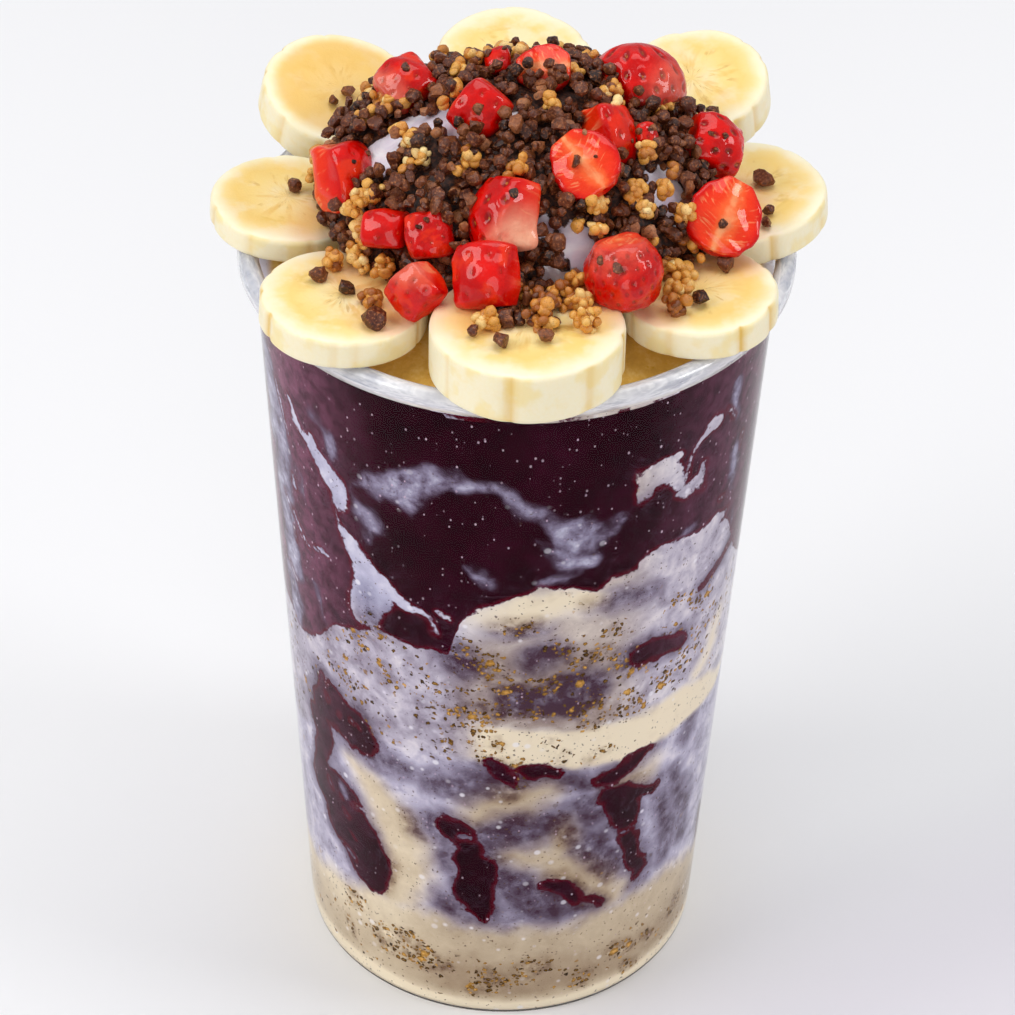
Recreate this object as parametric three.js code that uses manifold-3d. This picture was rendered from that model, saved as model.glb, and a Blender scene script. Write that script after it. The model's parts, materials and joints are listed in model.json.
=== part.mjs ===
// A tall clear cup of layered acai and cream, crowned with a ring of banana slices and a mound of
// cream that carries strawberry pieces, chocolate bits and granola clusters.
// Millimetres, +Z up. The origin is the middle of the foot, on the table. The front is -Y.
import * as THREE from "three";
import { mergeVertices } from "three/addons/utils/BufferGeometryUtils.js";
import Module from "manifold-3d";

const wasm = await Module();
wasm.setup();

// ---- Driving dimensions ------------------------------------------------------------------------
const CUP_HEIGHT = 157;
const RIM_RADIUS = 49; // outside of the rolled rim
const RIM_DROP = 3; // height of the rolled rim
const WALL_TOP_RADIUS = 46.1; // outside of the wall just under the rim
const WALL_FOOT_RADIUS = 37; // outside of the wall at the table
const WALL = 0.8; // thickness of the plastic
const FOOT_CORNER = 1.6; // rounding between wall and foot
const FOOT_RING = 5; // width of the ring that stands on the table
const FOOT_RECESS = 1.4; // how far the middle of the base stands clear of the table
const CUP_SIDES = 36;

const GAP = 0.3; // clearance between neighbouring solids
const FILL_LEVEL = 151; // surface of the acai at the wall
const FILL_CROWN = 155; // surface of the acai in the middle, where the slices lean on it
const LAYER_SIDES = 18; // of the wavy surfaces between the layers

const SLICE_EDGE = 0.9; // rounding of a slice's cut edges
const SLICE_SIDES = 25;
const RIM_REST = 44.3; // distance from the axis at which a slice touches the rim

const MOUND_CENTRE = new THREE.Vector3(0.5, 3, 159);
const MOUND_REACH = new THREE.Vector3(35.5, 30.5, 25); // half-axes of the dome of cream
const MOUND_EDGE_HEIGHT = 162; // lower edge of the dome, over the inner ends of the slices
const MOUND_STEM = 24; // radius of the cream that goes down between the slices
const MOUND_SIDES = 28;
const MOUND_ROWS = 6;

const BERRY_RADIUS = 12.5;
const BERRY_LENGTH = 30;
const BERRY_SIDES = 14;
const BERRY_ROWS = 7;

const BIT_SIZE = 3.6; // a chocolate bit, from corner to corner
const BERRY_BIT_SHARE = 0.8; // bits on the berries are this share of the full size
const CLUSTER_SIZE = 5.4; // a granola cluster, across
const TOPPING_PLACES = 270; // places on the mound where a bit or a cluster may lie
const CLUSTER_EVERY = 9; // one place in so many holds a cluster
const TOPPING_STAND = 0.6; // height of a topping's middle over the cream
const SEED = 20;

const LOOKS = {
  plastic: { color: 0xf4f6f8, roughness: 0.08, metalness: 0 },
  acai: { color: 0x3d1226, roughness: 0.45, metalness: 0 },
  marbled: { color: 0x7d6c7e, roughness: 0.45, metalness: 0 },
  cream: { color: 0xd9cdb8, roughness: 0.4, metalness: 0 },
  mound: { color: 0xcfc3cf, roughness: 0.3, metalness: 0 },
  banana: { color: 0xf6e6ac, roughness: 0.5, metalness: 0 },
  strawberry: { color: 0xc2150e, roughness: 0.2, metalness: 0 },
};

// ---- Geometry helpers --------------------------------------------------------------------------
const radians = THREE.MathUtils.degToRad;

function seededRandom(seed) {
  let state = seed;
  return () => {
    state = (state * 16807) % 2147483647;
    return state / 2147483647;
  };
}
const random = seededRandom(SEED);

// A profile of [radius, height] pairs turned about +Z.
function turned(profile, sides) {
  const points = profile.map(([radius, height]) => new THREE.Vector2(radius, height));
  return new THREE.LatheGeometry(points, sides).rotateX(Math.PI / 2);
}

function eachVertex(geometry, move) {
  const position = geometry.attributes.position;
  const point = new THREE.Vector3();
  for (let i = 0; i < position.count; i++) {
    move(point.fromBufferAttribute(position, i));
    position.setXYZ(i, point.x, point.y, point.z);
  }
  return geometry;
}

// A copy of the geometry, scaled, turned by Euler angles in degrees, and moved.
function placed(geometry, position, angles = [0, 0, 0], scale = [1, 1, 1]) {
  const turn = new THREE.Quaternion().setFromEuler(new THREE.Euler(...angles.map(radians)));
  const matrix = new THREE.Matrix4().compose(
    new THREE.Vector3(...position),
    turn,
    new THREE.Vector3(...scale),
  );
  return geometry.clone().applyMatrix4(matrix);
}

// A closed geometry as a solid that can be cut and joined.
function solidOf(geometry) {
  const bare = geometry.clone();
  bare.deleteAttribute("normal");
  bare.deleteAttribute("uv");
  const merged = mergeVertices(bare, 1e-4);
  return new wasm.Manifold(
    new wasm.Mesh({
      numProp: 3,
      vertProperties: new Float32Array(merged.attributes.position.array),
      triVerts: new Uint32Array(merged.index.array),
    }),
  );
}

function geometryOf(solid) {
  const mesh = solid.getMesh();
  return new THREE.BufferGeometry()
    .setAttribute("position", new THREE.BufferAttribute(new Float32Array(mesh.vertProperties), 3))
    .setIndex(new THREE.BufferAttribute(new Uint32Array(mesh.triVerts), 1));
}

const joined = (solids) => solids.reduce((whole, solid) => whole.add(solid));

// A cut can leave loose scraps, which are dropped.
const largest = (solid) => solid.decompose().sort((a, b) => b.volume() - a.volume())[0];

// A geometry round the origin, made larger by about a clearance on every side.
function grown(geometry, clearance) {
  geometry.computeBoundingBox();
  const size = geometry.boundingBox.getSize(new THREE.Vector3());
  const extra = 3 * clearance;
  return geometry.clone().scale(1 + extra / size.x, 1 + extra / size.y, 1 + extra / size.z);
}

const group = new THREE.Group();

function addNode(name, geometry, look) {
  const mesh = new THREE.Mesh(geometry, new THREE.MeshStandardMaterial(LOOKS[look]));
  mesh.name = name;
  group.add(mesh);
  return mesh;
}

// ---- Cup ---------------------------------------------------------------------------------------
const wallRadius = (height) =>
  WALL_FOOT_RADIUS + ((WALL_TOP_RADIUS - WALL_FOOT_RADIUS) * height) / (CUP_HEIGHT - RIM_DROP);
const INNER_FLOOR = FOOT_RECESS + WALL;

function cup() {
  const rollTop = CUP_HEIGHT - WALL; // underside of the roll's top
  const rollBottom = CUP_HEIGHT - RIM_DROP;
  const ringInside = WALL_FOOT_RADIUS - FOOT_RING;
  const bevel = 0.5; // of the roll's corners
  return turned(
    [
      [0, FOOT_RECESS],
      [ringInside - FOOT_RECESS, FOOT_RECESS],
      [ringInside, 0],
      [WALL_FOOT_RADIUS - FOOT_CORNER, 0],
      [WALL_FOOT_RADIUS - FOOT_CORNER * 0.3, FOOT_CORNER * 0.35],
      [wallRadius(FOOT_CORNER), FOOT_CORNER],
      [wallRadius(rollBottom), rollBottom],
      [wallRadius(rollTop - bevel), rollTop - bevel],
      [WALL_TOP_RADIUS + bevel, rollTop],
      [RIM_RADIUS - WALL - bevel, rollTop],
      [RIM_RADIUS - WALL, rollTop - bevel],
      [RIM_RADIUS - WALL, rollBottom],
      [RIM_RADIUS, rollBottom],
      [RIM_RADIUS, rollTop],
      [RIM_RADIUS - WALL, CUP_HEIGHT],
      [WALL_TOP_RADIUS + bevel, CUP_HEIGHT],
      [WALL_TOP_RADIUS - bevel, rollTop],
      [wallRadius(INNER_FLOOR) - WALL, INNER_FLOOR],
      [0, INNER_FLOOR],
    ],
    CUP_SIDES,
  );
}

// ---- Filling -----------------------------------------------------------------------------------
// The whole filling as one body: it follows the wall, and crowns gently in the middle.
function filling() {
  const floor = INNER_FLOOR + GAP;
  const side = (height) => wallRadius(height) - WALL - GAP;
  const crown = FILL_CROWN - FILL_LEVEL;
  const reach = side(FILL_LEVEL);
  const shoulders = [0.95, 0.87, 0.75, 0.4].map((share) => [
    reach * share,
    FILL_LEVEL + crown * (1 - share ** 7),
  ]);
  return solidOf(
    turned(
      [[0, floor], [side(floor), floor], [reach, FILL_LEVEL], ...shoulders, [0, FILL_CROWN]],
      CUP_SIDES,
    ),
  );
}

// Wavy surfaces between one layer and the next.
const LAYER_TOPS = [
  (x, y) => 25 + 0.05 * x + 0.9 * Math.sin(x / 9 + 1) + 0.7 * Math.cos(y / 8),
  (x, y) => 69 - 0.11 * x + 2.2 * Math.sin(y / 11 - x / 14),
  (x, y) => 102 + 0.3 * x + 2.4 * Math.sin(x / 8 + 0.6) + 1.8 * Math.cos(y / 10),
];

// Everything under one of those surfaces, out past the wall.
function below(surface, lift) {
  const reach = RIM_RADIUS;
  const rings = [1, 0.75, 0.5, 0.25, 0];
  const profile = [[0, 0], ...rings.map((share) => [reach * share, 1])];
  profile.splice(1, 0, [reach, 0]);
  const disc = turned(profile, LAYER_SIDES);
  return solidOf(
    eachVertex(disc, (p) => {
      p.z = p.z > 0.5 ? surface(p.x, p.y) + lift : 0;
    }),
  );
}

function layers(whole) {
  const bases = [null, ...LAYER_TOPS.map((surface) => below(surface, GAP / 2))];
  const covers = [...LAYER_TOPS.map((surface) => below(surface, -GAP / 2)), null];
  return bases.map((base, i) => {
    const capped = covers[i] ? whole.intersect(covers[i]) : whole;
    return base ? capped.subtract(base) : capped;
  });
}

const LAYERS = [
  ["cream_base_layer", "cream"],
  ["marbled_lower_layer", "marbled"],
  ["cream_granola_layer", "cream"],
  ["acai_upper_layer", "acai"],
];

// ---- Toppings ----------------------------------------------------------------------------------
const anyTurn = () => [random() * 360, random() * 360, random() * 360];

// A chocolate bit: an angular lump, its middle at the origin.
function chocolateBit(size) {
  const proportions = [1, 0.8 + 0.3 * random(), 0.75 + 0.25 * random()];
  return placed(new THREE.OctahedronGeometry(size / 2, 0), [0, 0, 0], anyTurn(), proportions);
}

// A granola cluster: three grains baked together.
function granolaCluster(size) {
  const spread = size * 0.24;
  const middles = [
    [0.8, 0, 0],
    [-0.4, 0.8, 0],
    [-0.2, -0.5, 0.6],
  ];
  const grains = middles.map((middle) => {
    const grain = new THREE.OctahedronGeometry(size * (0.3 + 0.05 * random()), 0);
    return solidOf(placed(grain, middle.map((share) => share * spread), anyTurn()));
  });
  return geometryOf(joined(grains));
}

const TOPPINGS = {
  bit: (share) => chocolateBit(BIT_SIZE * share),
  cluster: (share) => granolaCluster(CLUSTER_SIZE * share),
};

// ---- Banana slices -----------------------------------------------------------------------------
// Each slice: its middle, radius, thickness, dip towards the axis in degrees, and the toppings on
// it as [kind, x, y, share of full size], from the slice's middle.
const SLICES = {
  banana_front: {
    middle: [2.1, -38.9],
    radius: 16.7,
    thickness: 9.7,
    dip: 3.5,
    toppings: [
      ["cluster", -6.6, -1.8, 0.8],
      ["bit", -8.9, -4.6, 0.9],
      ["bit", -4.3, -7.3, 1.1],
      ["cluster", 2.5, 2.4, 1.1],
      ["bit", 2.9, -5.8, 1],
      ["cluster", 10, -0.9, 1.1],
    ],
  },
  banana_front_right: {
    middle: [31.3, -22.8],
    radius: 13.7,
    thickness: 6,
    dip: 3.5,
    toppings: [
      ["bit", 4.6, 5.8, 1.2],
      ["cluster", -5.2, 3.6, 0.9],
      ["cluster", -3.6, -1.9, 0.9],
      ["cluster", -4.2, -7, 0.9],
      ["bit", 0.2, -5, 1.1],
    ],
  },
  banana_right: {
    middle: [39.2, 6.8],
    radius: 15.2,
    thickness: 6,
    dip: 5,
    toppings: [["bit", 4, 1, 1.2], ["bit", 4.4, -7.8, 0.8], ["bit", 4.1, -11.2, 0.7]],
  },
  banana_back_right: {
    middle: [31.2, 37.4],
    radius: 14,
    thickness: 7.5,
    dip: 12,
    toppings: [["bit", 3.6, -10.3, 1]],
  },
  banana_back: { middle: [-1.4, 43], radius: 14.8, thickness: 8, dip: 12, toppings: [] },
  banana_back_left: {
    middle: [-32.7, 32.8],
    radius: 14.3,
    thickness: 7.5,
    dip: 14,
    toppings: [["bit", 1.4, -2.5, 0.9], ["bit", -1.2, -4.9, 0.7], ["bit", 0.1, -11, 1.2]],
  },
  banana_left: {
    middle: [-40.4, 2.3],
    radius: 13.5,
    thickness: 5,
    dip: 3.5,
    toppings: [["bit", 1.2, 1.8, 1.1], ["bit", 7.6, -7.6, 1.4]],
  },
  banana_front_left: {
    middle: [-29.2, -27],
    radius: 14.6,
    thickness: 5.8,
    dip: 3.5,
    toppings: [
      ["bit", -4.3, 3.8, 1.2],
      ["cluster", -2.2, 8, 0.8],
      ["bit", 0.4, 0.2, 1],
      ["bit", 5.5, -8.5, 1.4],
      ["cluster", 4.8, -2.4, 0.7],
    ],
  },
};

// Share of the full radius at each angle: softly five-sided, with shallow flutes.
const sliceOutline = (angle) =>
  0.985 +
  0.014 * Math.cos(5 * angle) +
  0.008 * Math.sin(3 * angle + 1) +
  0.006 * Math.cos(14 * angle);

// A plain slice with its middle at the origin, larger all over by a clearance.
function slice({ radius, thickness }, clearance) {
  const half = thickness / 2 + clearance;
  const full = radius + clearance;
  const profile = [
    [0, -half],
    [full - SLICE_EDGE, -half],
    [full, -half + SLICE_EDGE],
    [full, half - SLICE_EDGE],
    [full - SLICE_EDGE, half],
    [0, half],
  ];
  return eachVertex(turned(profile, SLICE_SIDES), (p) => {
    const share = sliceOutline(Math.atan2(p.y, p.x) + radius);
    p.x *= share;
    p.y *= share;
  });
}

// The slice's place: it rests on the rim and dips towards the axis.
function sliceMatrix({ middle, thickness, dip }) {
  const outwards = new THREE.Vector3(...middle, 0);
  const distance = outwards.length();
  outwards.normalize();
  const tiltAxis = new THREE.Vector3(outwards.y, -outwards.x, 0);
  const drop = (RIM_REST - distance) * Math.tan(radians(dip));
  const height = CUP_HEIGHT + GAP + thickness / 2 / Math.cos(radians(dip)) - drop;
  return new THREE.Matrix4().makeRotationAxis(tiltAxis, radians(dip)).setPosition(...middle, height);
}

// ---- Strawberry pieces -------------------------------------------------------------------------
// A whole berry on the z axis, its tip at z = 0.
function wholeBerry() {
  const profile = [[0, 0]];
  for (let i = 1; i < BERRY_ROWS; i++) {
    const along = i / BERRY_ROWS;
    const fullness = Math.sin(Math.PI * along ** 0.72) ** 0.62;
    profile.push([BERRY_RADIUS * fullness, BERRY_LENGTH * along]);
  }
  profile.push([0, BERRY_LENGTH]);
  return turned(profile, BERRY_SIDES);
}

// What each cut keeps of the berry: spans along x, y and z. The skin is towards +x.
const CUTS = {
  half: [[0, 13], [-13, 13], [1, 27]],
  tip: [[-13, 13], [-13, 13], [-1, 23]],
  point: [[-7, 13], [-9, 9], [-1, 13]],
  block: [[2, 13], [-6.5, 6.5], [8, 21]],
  wedge: [[3, 13], [-2, 9], [6, 19]],
  chip: [[6, 13], [-3.5, 4.5], [10, 17]],
};

// One cut piece at its size, its middle moved to the origin.
function berryCut(cut, size) {
  const sizes = CUTS[cut].map(([low, high]) => high - low);
  const middles = CUTS[cut].map(([low, high]) => (high + low) / 2);
  const keep = solidOf(placed(new THREE.BoxGeometry(...sizes), middles));
  const geometry = geometryOf(solidOf(wholeBerry()).intersect(keep));
  return geometry.center().scale(size, size, size);
}

// Each piece: its cut, size, middle, the directions of its skin and of its tip, and the directions
// from its middle in which a chocolate bit lies on it.
const BERRIES = [
  {
    cut: "wedge",
    size: 0.92,
    at: [-29, -4.9, 171.8],
    skin: [0.6, -0.6, 0.5],
    tip: [0.2, -0.5, -0.8],
  },
  {
    cut: "block",
    size: 0.69,
    at: [-19.8, 8.9, 182.1],
    skin: [-0.2, -0.5, 0.9],
    tip: [-0.7, -0.6, 0],
    bits: [[0, -0.3, 1]],
  },
  {
    cut: "wedge",
    size: 0.74,
    at: [-7, -3.5, 184.6],
    skin: [-0.3, -0.7, 0.6],
    tip: [-0.6, -0.5, -0.5],
    bits: [[0, -0.7, 0.7]],
  },
  {
    cut: "block",
    size: 0.92,
    at: [-2.7, -21.3, 176.2],
    skin: [-0.9, -0.3, 0.3],
    tip: [0.2, -0.5, -0.8],
    bits: [[0.3, -0.4, 0.9]],
  },
  {
    cut: "half",
    size: 0.5,
    at: [11.3, -14, 181.1],
    skin: [0.2, 0.6, -0.75],
    tip: [0.6, -0.5, -0.5],
    bits: [[-0.3, -0.8, 0.6]],
  },
  {
    cut: "wedge",
    size: 0.83,
    at: [16.3, -4.1, 180.9],
    skin: [0.7, -0.5, 0.5],
    tip: [0.2, -0.6, -0.7],
  },
  {
    cut: "point",
    size: 0.76,
    at: [20.8, 13.2, 182.3],
    skin: [0.5, -0.6, 0.3],
    tip: [0.05, 0.3, 0.95],
  },
  {
    cut: "half",
    size: 0.39,
    at: [3.9, 9.4, 184.3],
    skin: [0.1, 0.5, -0.9],
    tip: [1, 0.1, 0],
    bits: [[0.3, -0.4, 0.9]],
  },
  {
    cut: "chip",
    size: 0.6,
    at: [-4.1, 12.9, 184.1],
    skin: [0, -0.6, 0.8],
    tip: [1, 0.2, 0],
  },
  {
    cut: "block",
    size: 0.74,
    at: [34, 3.8, 174.1],
    skin: [0.3, -0.5, 0.8],
    tip: [-0.9, 0, 0.3],
  },
  {
    cut: "half",
    size: 0.55,
    at: [35, -10.6, 168.8],
    skin: [-0.2, 0.65, -0.7],
    tip: [-0.4, -0.5, -0.75],
    bits: [[0, -0.9, 0.4]],
  },
  {
    cut: "tip",
    size: 0.54,
    at: [18.1, -28.6, 169.4],
    skin: [0.2, -0.9, 0.3],
    tip: [0.2, -0.5, -0.85],
    bits: [[-0.2, -0.7, 0.7]],
  },
  {
    cut: "wedge",
    size: 0.68,
    at: [-16.9, -32.6, 167.7],
    skin: [-0.6, -0.7, 0.4],
    tip: [-0.6, 0, -0.8],
  },
  {
    cut: "wedge",
    size: 0.86,
    at: [-5.2, -32.9, 171.7],
    skin: [-0.7, -0.6, 0.4],
    tip: [0.3, -0.3, -0.9],
  },
  {
    cut: "block",
    size: 0.61,
    at: [-14.9, -22.2, 172.1],
    skin: [0, -0.8, 0.6],
    tip: [0.2, -0.5, -0.8],
  },
  {
    cut: "chip",
    size: 0.9,
    at: [-22.4, -18.8, 170.4],
    skin: [-0.3, -0.8, 0.5],
    tip: [0, -0.5, -0.8],
  },
  {
    cut: "chip",
    size: 0.5,
    at: [21.6, -4.2, 181.6],
    skin: [0.3, -0.8, 0.5],
    tip: [0, -0.5, -0.8],
  },
];

// Turns a cut piece so that its skin and tip face as asked, and moves it to its place.
function berryMatrix({ at, skin, tip }) {
  const out = new THREE.Vector3(...skin).normalize();
  const up = new THREE.Vector3(...tip).negate();
  up.addScaledVector(out, -up.dot(out)).normalize();
  const across = new THREE.Vector3().crossVectors(up, out);
  return new THREE.Matrix4().makeBasis(out, across, up).setPosition(...at);
}

// Where a ray from a point leaves a geometry that surrounds it.
function surfacePoint(geometry, from, direction) {
  const ray = new THREE.Ray(new THREE.Vector3(...from), new THREE.Vector3(...direction).normalize());
  const { position } = geometry.attributes;
  const corners = [new THREE.Vector3(), new THREE.Vector3(), new THREE.Vector3()];
  const index = geometry.index.array;
  for (let i = 0; i < index.length; i += 3) {
    corners.forEach((corner, k) => corner.fromBufferAttribute(position, index[i + k]));
    const hit = ray.intersectTriangle(...corners, false, new THREE.Vector3());
    if (hit) return hit;
  }
  throw new Error("no surface in that direction");
}

// ---- Cream mound -------------------------------------------------------------------------------
function mound() {
  const lowest = Math.asin((MOUND_EDGE_HEIGHT - MOUND_CENTRE.z) / MOUND_REACH.z);
  const stem = MOUND_STEM / MOUND_REACH.y;
  const profile = [
    [0, FILL_CROWN + GAP],
    [stem, FILL_CROWN + GAP],
    [stem, MOUND_EDGE_HEIGHT],
  ];
  for (let i = 0; i < MOUND_ROWS; i++) {
    const up = lowest + ((Math.PI / 2 - lowest) * i) / MOUND_ROWS;
    profile.push([Math.cos(up), MOUND_CENTRE.z + MOUND_REACH.z * Math.sin(up)]);
  }
  profile.push([0, MOUND_CENTRE.z + MOUND_REACH.z]);
  return eachVertex(turned(profile, MOUND_SIDES), (p) => {
    const unevenness = 1 + 0.02 * Math.sin(5 * p.x + 3) * Math.cos(4 * p.y);
    const onDome = THREE.MathUtils.smoothstep(p.z, MOUND_EDGE_HEIGHT - 1, MOUND_EDGE_HEIGHT);
    p.x = p.x * MOUND_REACH.x * unevenness + MOUND_CENTRE.x * onDome;
    p.y = p.y * MOUND_REACH.y * unevenness + MOUND_CENTRE.y * onDome;
  });
}

// Places where the cream shows bare between the toppings: x, y and radius.
const BARE_CREAM = [
  [-25, -5, 5],
  [-14, -1.5, 4],
  [25, -9.5, 5],
  [9, -22, 4.5],
];

// Points spread evenly over the dome from the top down, with the outward direction at each.
function domePlaces() {
  const goldenTurn = Math.PI * (3 - Math.sqrt(5));
  const lowest = (MOUND_EDGE_HEIGHT + 2 - MOUND_CENTRE.z) / MOUND_REACH.z;
  return Array.from({ length: TOPPING_PLACES }, (_, i) => {
    const up = 1 - ((1 - lowest) * (i + 0.5)) / TOPPING_PLACES;
    const out = Math.sqrt(1 - up * up);
    const turn = i * goldenTurn;
    const onSphere = new THREE.Vector3(out * Math.cos(turn), out * Math.sin(turn), up);
    return {
      normal: onSphere.clone().divide(MOUND_REACH).normalize(),
      at: onSphere.multiply(MOUND_REACH).add(MOUND_CENTRE),
    };
  });
}

// ---- Assembly ----------------------------------------------------------------------------------
addNode("cup", cup(), "plastic");

const sliceBeds = Object.values(SLICES).map((banana) =>
  solidOf(slice(banana, GAP).applyMatrix4(sliceMatrix(banana))),
);
layers(filling().subtract(joined(sliceBeds))).forEach((layer, i) => {
  const [name, look] = LAYERS[i];
  addNode(name, geometryOf(layer), look);
});

const crowded = [...sliceBeds]; // everything placed so far on the filling, grown by a clearance
Object.entries(SLICES).forEach(([name, banana]) => {
  const matrix = sliceMatrix(banana);
  const parts = [solidOf(slice(banana, 0))];
  banana.toppings.forEach(([kind, x, y, share]) => {
    const at = [x, y, banana.thickness / 2 + share];
    const topping = TOPPINGS[kind](share);
    parts.push(solidOf(placed(topping, at)));
    crowded.push(solidOf(placed(grown(topping, GAP), at).applyMatrix4(matrix)));
  });
  addNode(name, geometryOf(joined(parts)).applyMatrix4(matrix), "banana");
});

// The berry pieces are laid on one after the other, each cut to fit against what lies there.
BERRIES.forEach((berry, i) => {
  const matrix = berryMatrix(berry);
  const piece = berryCut(berry.cut, berry.size);
  const geometry = piece.clone().applyMatrix4(matrix);
  const bits = (berry.bits ?? []).map((direction) => {
    const at = surfacePoint(geometry, berry.at, direction).toArray();
    return { at, bit: chocolateBit(BIT_SIZE * BERRY_BIT_SHARE) };
  });
  const whole = joined([solidOf(geometry), ...bits.map(({ at, bit }) => solidOf(placed(bit, at)))]);
  addNode("strawberry_" + (i + 1), geometryOf(largest(whole.subtract(joined(crowded)))), "strawberry");
  crowded.push(solidOf(grown(piece, GAP).applyMatrix4(matrix)));
  crowded.push(...bits.map(({ at, bit }) => solidOf(placed(grown(bit, GAP), at))));
});

const keepClear = joined(crowded);
let cream = solidOf(mound()).subtract(keepClear);
domePlaces().forEach(({ at, normal }, i) => {
  const kind = i % CLUSTER_EVERY === 4 ? "cluster" : "bit";
  const share = 0.85 + 0.35 * random();
  const middle = at.addScaledVector(normal, share * TOPPING_STAND);
  const topping = solidOf(placed(TOPPINGS[kind](share), middle.toArray()));
  const onBareCream = BARE_CREAM.some(([x, y, radius]) => Math.hypot(at.x - x, at.y - y) < radius);
  if (!onBareCream && topping.intersect(keepClear).isEmpty()) cream = cream.add(topping);
});
addNode("cream_mound", geometryOf(largest(cream)), "mound");

export default group;
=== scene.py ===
import json
import math
import random

import bpy
import numpy as np
from mathutils import Matrix, Vector, noise
from mathutils.bvhtree import BVHTree

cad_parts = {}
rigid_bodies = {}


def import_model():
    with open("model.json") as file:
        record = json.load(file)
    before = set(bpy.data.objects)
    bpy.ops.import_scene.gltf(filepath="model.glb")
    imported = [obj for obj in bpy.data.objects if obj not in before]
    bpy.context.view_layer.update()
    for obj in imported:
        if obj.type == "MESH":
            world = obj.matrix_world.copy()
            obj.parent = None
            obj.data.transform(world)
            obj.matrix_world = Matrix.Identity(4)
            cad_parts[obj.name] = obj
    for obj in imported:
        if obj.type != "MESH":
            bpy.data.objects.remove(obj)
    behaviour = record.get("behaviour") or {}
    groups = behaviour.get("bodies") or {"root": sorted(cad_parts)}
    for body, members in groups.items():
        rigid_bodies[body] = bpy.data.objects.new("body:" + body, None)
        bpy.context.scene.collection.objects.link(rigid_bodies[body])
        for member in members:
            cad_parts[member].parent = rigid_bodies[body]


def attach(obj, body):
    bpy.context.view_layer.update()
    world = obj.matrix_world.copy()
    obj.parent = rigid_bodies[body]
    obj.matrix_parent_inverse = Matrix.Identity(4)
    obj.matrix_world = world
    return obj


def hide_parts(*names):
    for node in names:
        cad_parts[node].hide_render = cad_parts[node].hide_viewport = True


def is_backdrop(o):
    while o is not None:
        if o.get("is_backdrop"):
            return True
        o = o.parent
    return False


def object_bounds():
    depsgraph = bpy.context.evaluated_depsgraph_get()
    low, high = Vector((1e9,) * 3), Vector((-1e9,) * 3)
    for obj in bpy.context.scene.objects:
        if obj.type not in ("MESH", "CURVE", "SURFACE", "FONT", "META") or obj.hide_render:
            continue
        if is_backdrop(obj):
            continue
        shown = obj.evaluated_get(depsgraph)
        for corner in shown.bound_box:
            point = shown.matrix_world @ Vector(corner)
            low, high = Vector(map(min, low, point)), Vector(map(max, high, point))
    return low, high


bl_info = {
    "name": "Layered acai cup",
    "version": (1, 0, 0),
    "blender": (4, 5, 0),
    "location": "View3D > Sidebar > Acai cup",
    "description": "A clear cup of acai and cream with banana, strawberry and crunchy bits",
    "category": "Add Mesh",
}

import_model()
CAD_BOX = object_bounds()
MM = 0.001

# ---- Sizes of the cup and its filling, in millimetres ------------------------------------------
CUP_HEIGHT = 157.0
RIM_DROP = 3.0
WALL_TOP_RADIUS = 46.1
WALL_FOOT_RADIUS = 37.0
WALL = 0.8
CURL_CENTRE = (47.16, 155.1)  # the rim's roll: radius and height of its middle
CURL_REACH = (1.46, 1.5)
FILL_FLOOR = 2.05
FILL_LEVEL = 151.0
FILL_CROWN = 155.0
SOAK = 0.2  # how far the filling reaches into the wall, so that no air shows between them
RIM_REST = 44.3  # radius where the slices rest on the rim
GAP = 0.3
MOUND_CENTRE = Vector((0.5, 3.0, 159.0))
MOUND_REACH = Vector((35.5, 30.5, 25.0))
MOUND_EDGE_HEIGHT = 162.0
MOUND_STEM = 24.0
MOUND_SINK = 0.3  # how far the mound's stem stands in the filling
SLICE_CORNER = 0.9
BERRY_RADIUS = 12.5
BERRY_LENGTH = 30.0

# Steps round each turned body.
CUP_STEPS, LAYER_STEPS, SLICE_STEPS, MOUND_STEPS, BERRY_STEPS = 160, 480, 128, 120, 96

# Banana slices: middle x and y, radius, thickness, dip towards the axis in degrees.
SLICES = {
    "banana_front": ((2.1, -38.9), 16.7, 9.7, 3.5),
    "banana_front_right": ((31.3, -22.8), 13.7, 6.0, 3.5),
    "banana_right": ((39.2, 6.8), 15.2, 6.0, 5.0),
    "banana_back_right": ((31.2, 37.4), 14.0, 7.5, 12.0),
    "banana_back": ((-1.4, 43.0), 14.8, 8.0, 12.0),
    "banana_back_left": ((-32.7, 32.8), 14.3, 7.5, 14.0),
    "banana_left": ((-40.4, 2.3), 13.5, 5.0, 3.5),
    "banana_front_left": ((-29.2, -27.0), 14.6, 5.8, 3.5),
}

# How far the yellow of a slice's face has deepened.
RIPENESS = {"banana_back_left": 0.7, "banana_left": 0.3, "banana_right": 0.2, "banana_back": 0.1,
            "banana_back_right": 0.22, "banana_front_right": 0.25, "banana_front": 0.12}

# What each cut keeps of a whole berry: spans along x, y and z. The skin is towards +x.
CUTS = {
    "half": ((0, 13), (-13, 13), (1, 27)),
    "tip": ((-13, 13), (-13, 13), (-1, 23)),
    "point": ((-7, 13), (-9, 9), (-1, 13)),
    "block": ((2, 13), (-6.5, 6.5), (8, 21)),
    "wedge": ((3, 13), (-2, 9), (6, 19)),
    "chip": ((6, 13), (-3.5, 4.5), (10, 17)),
}

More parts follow.
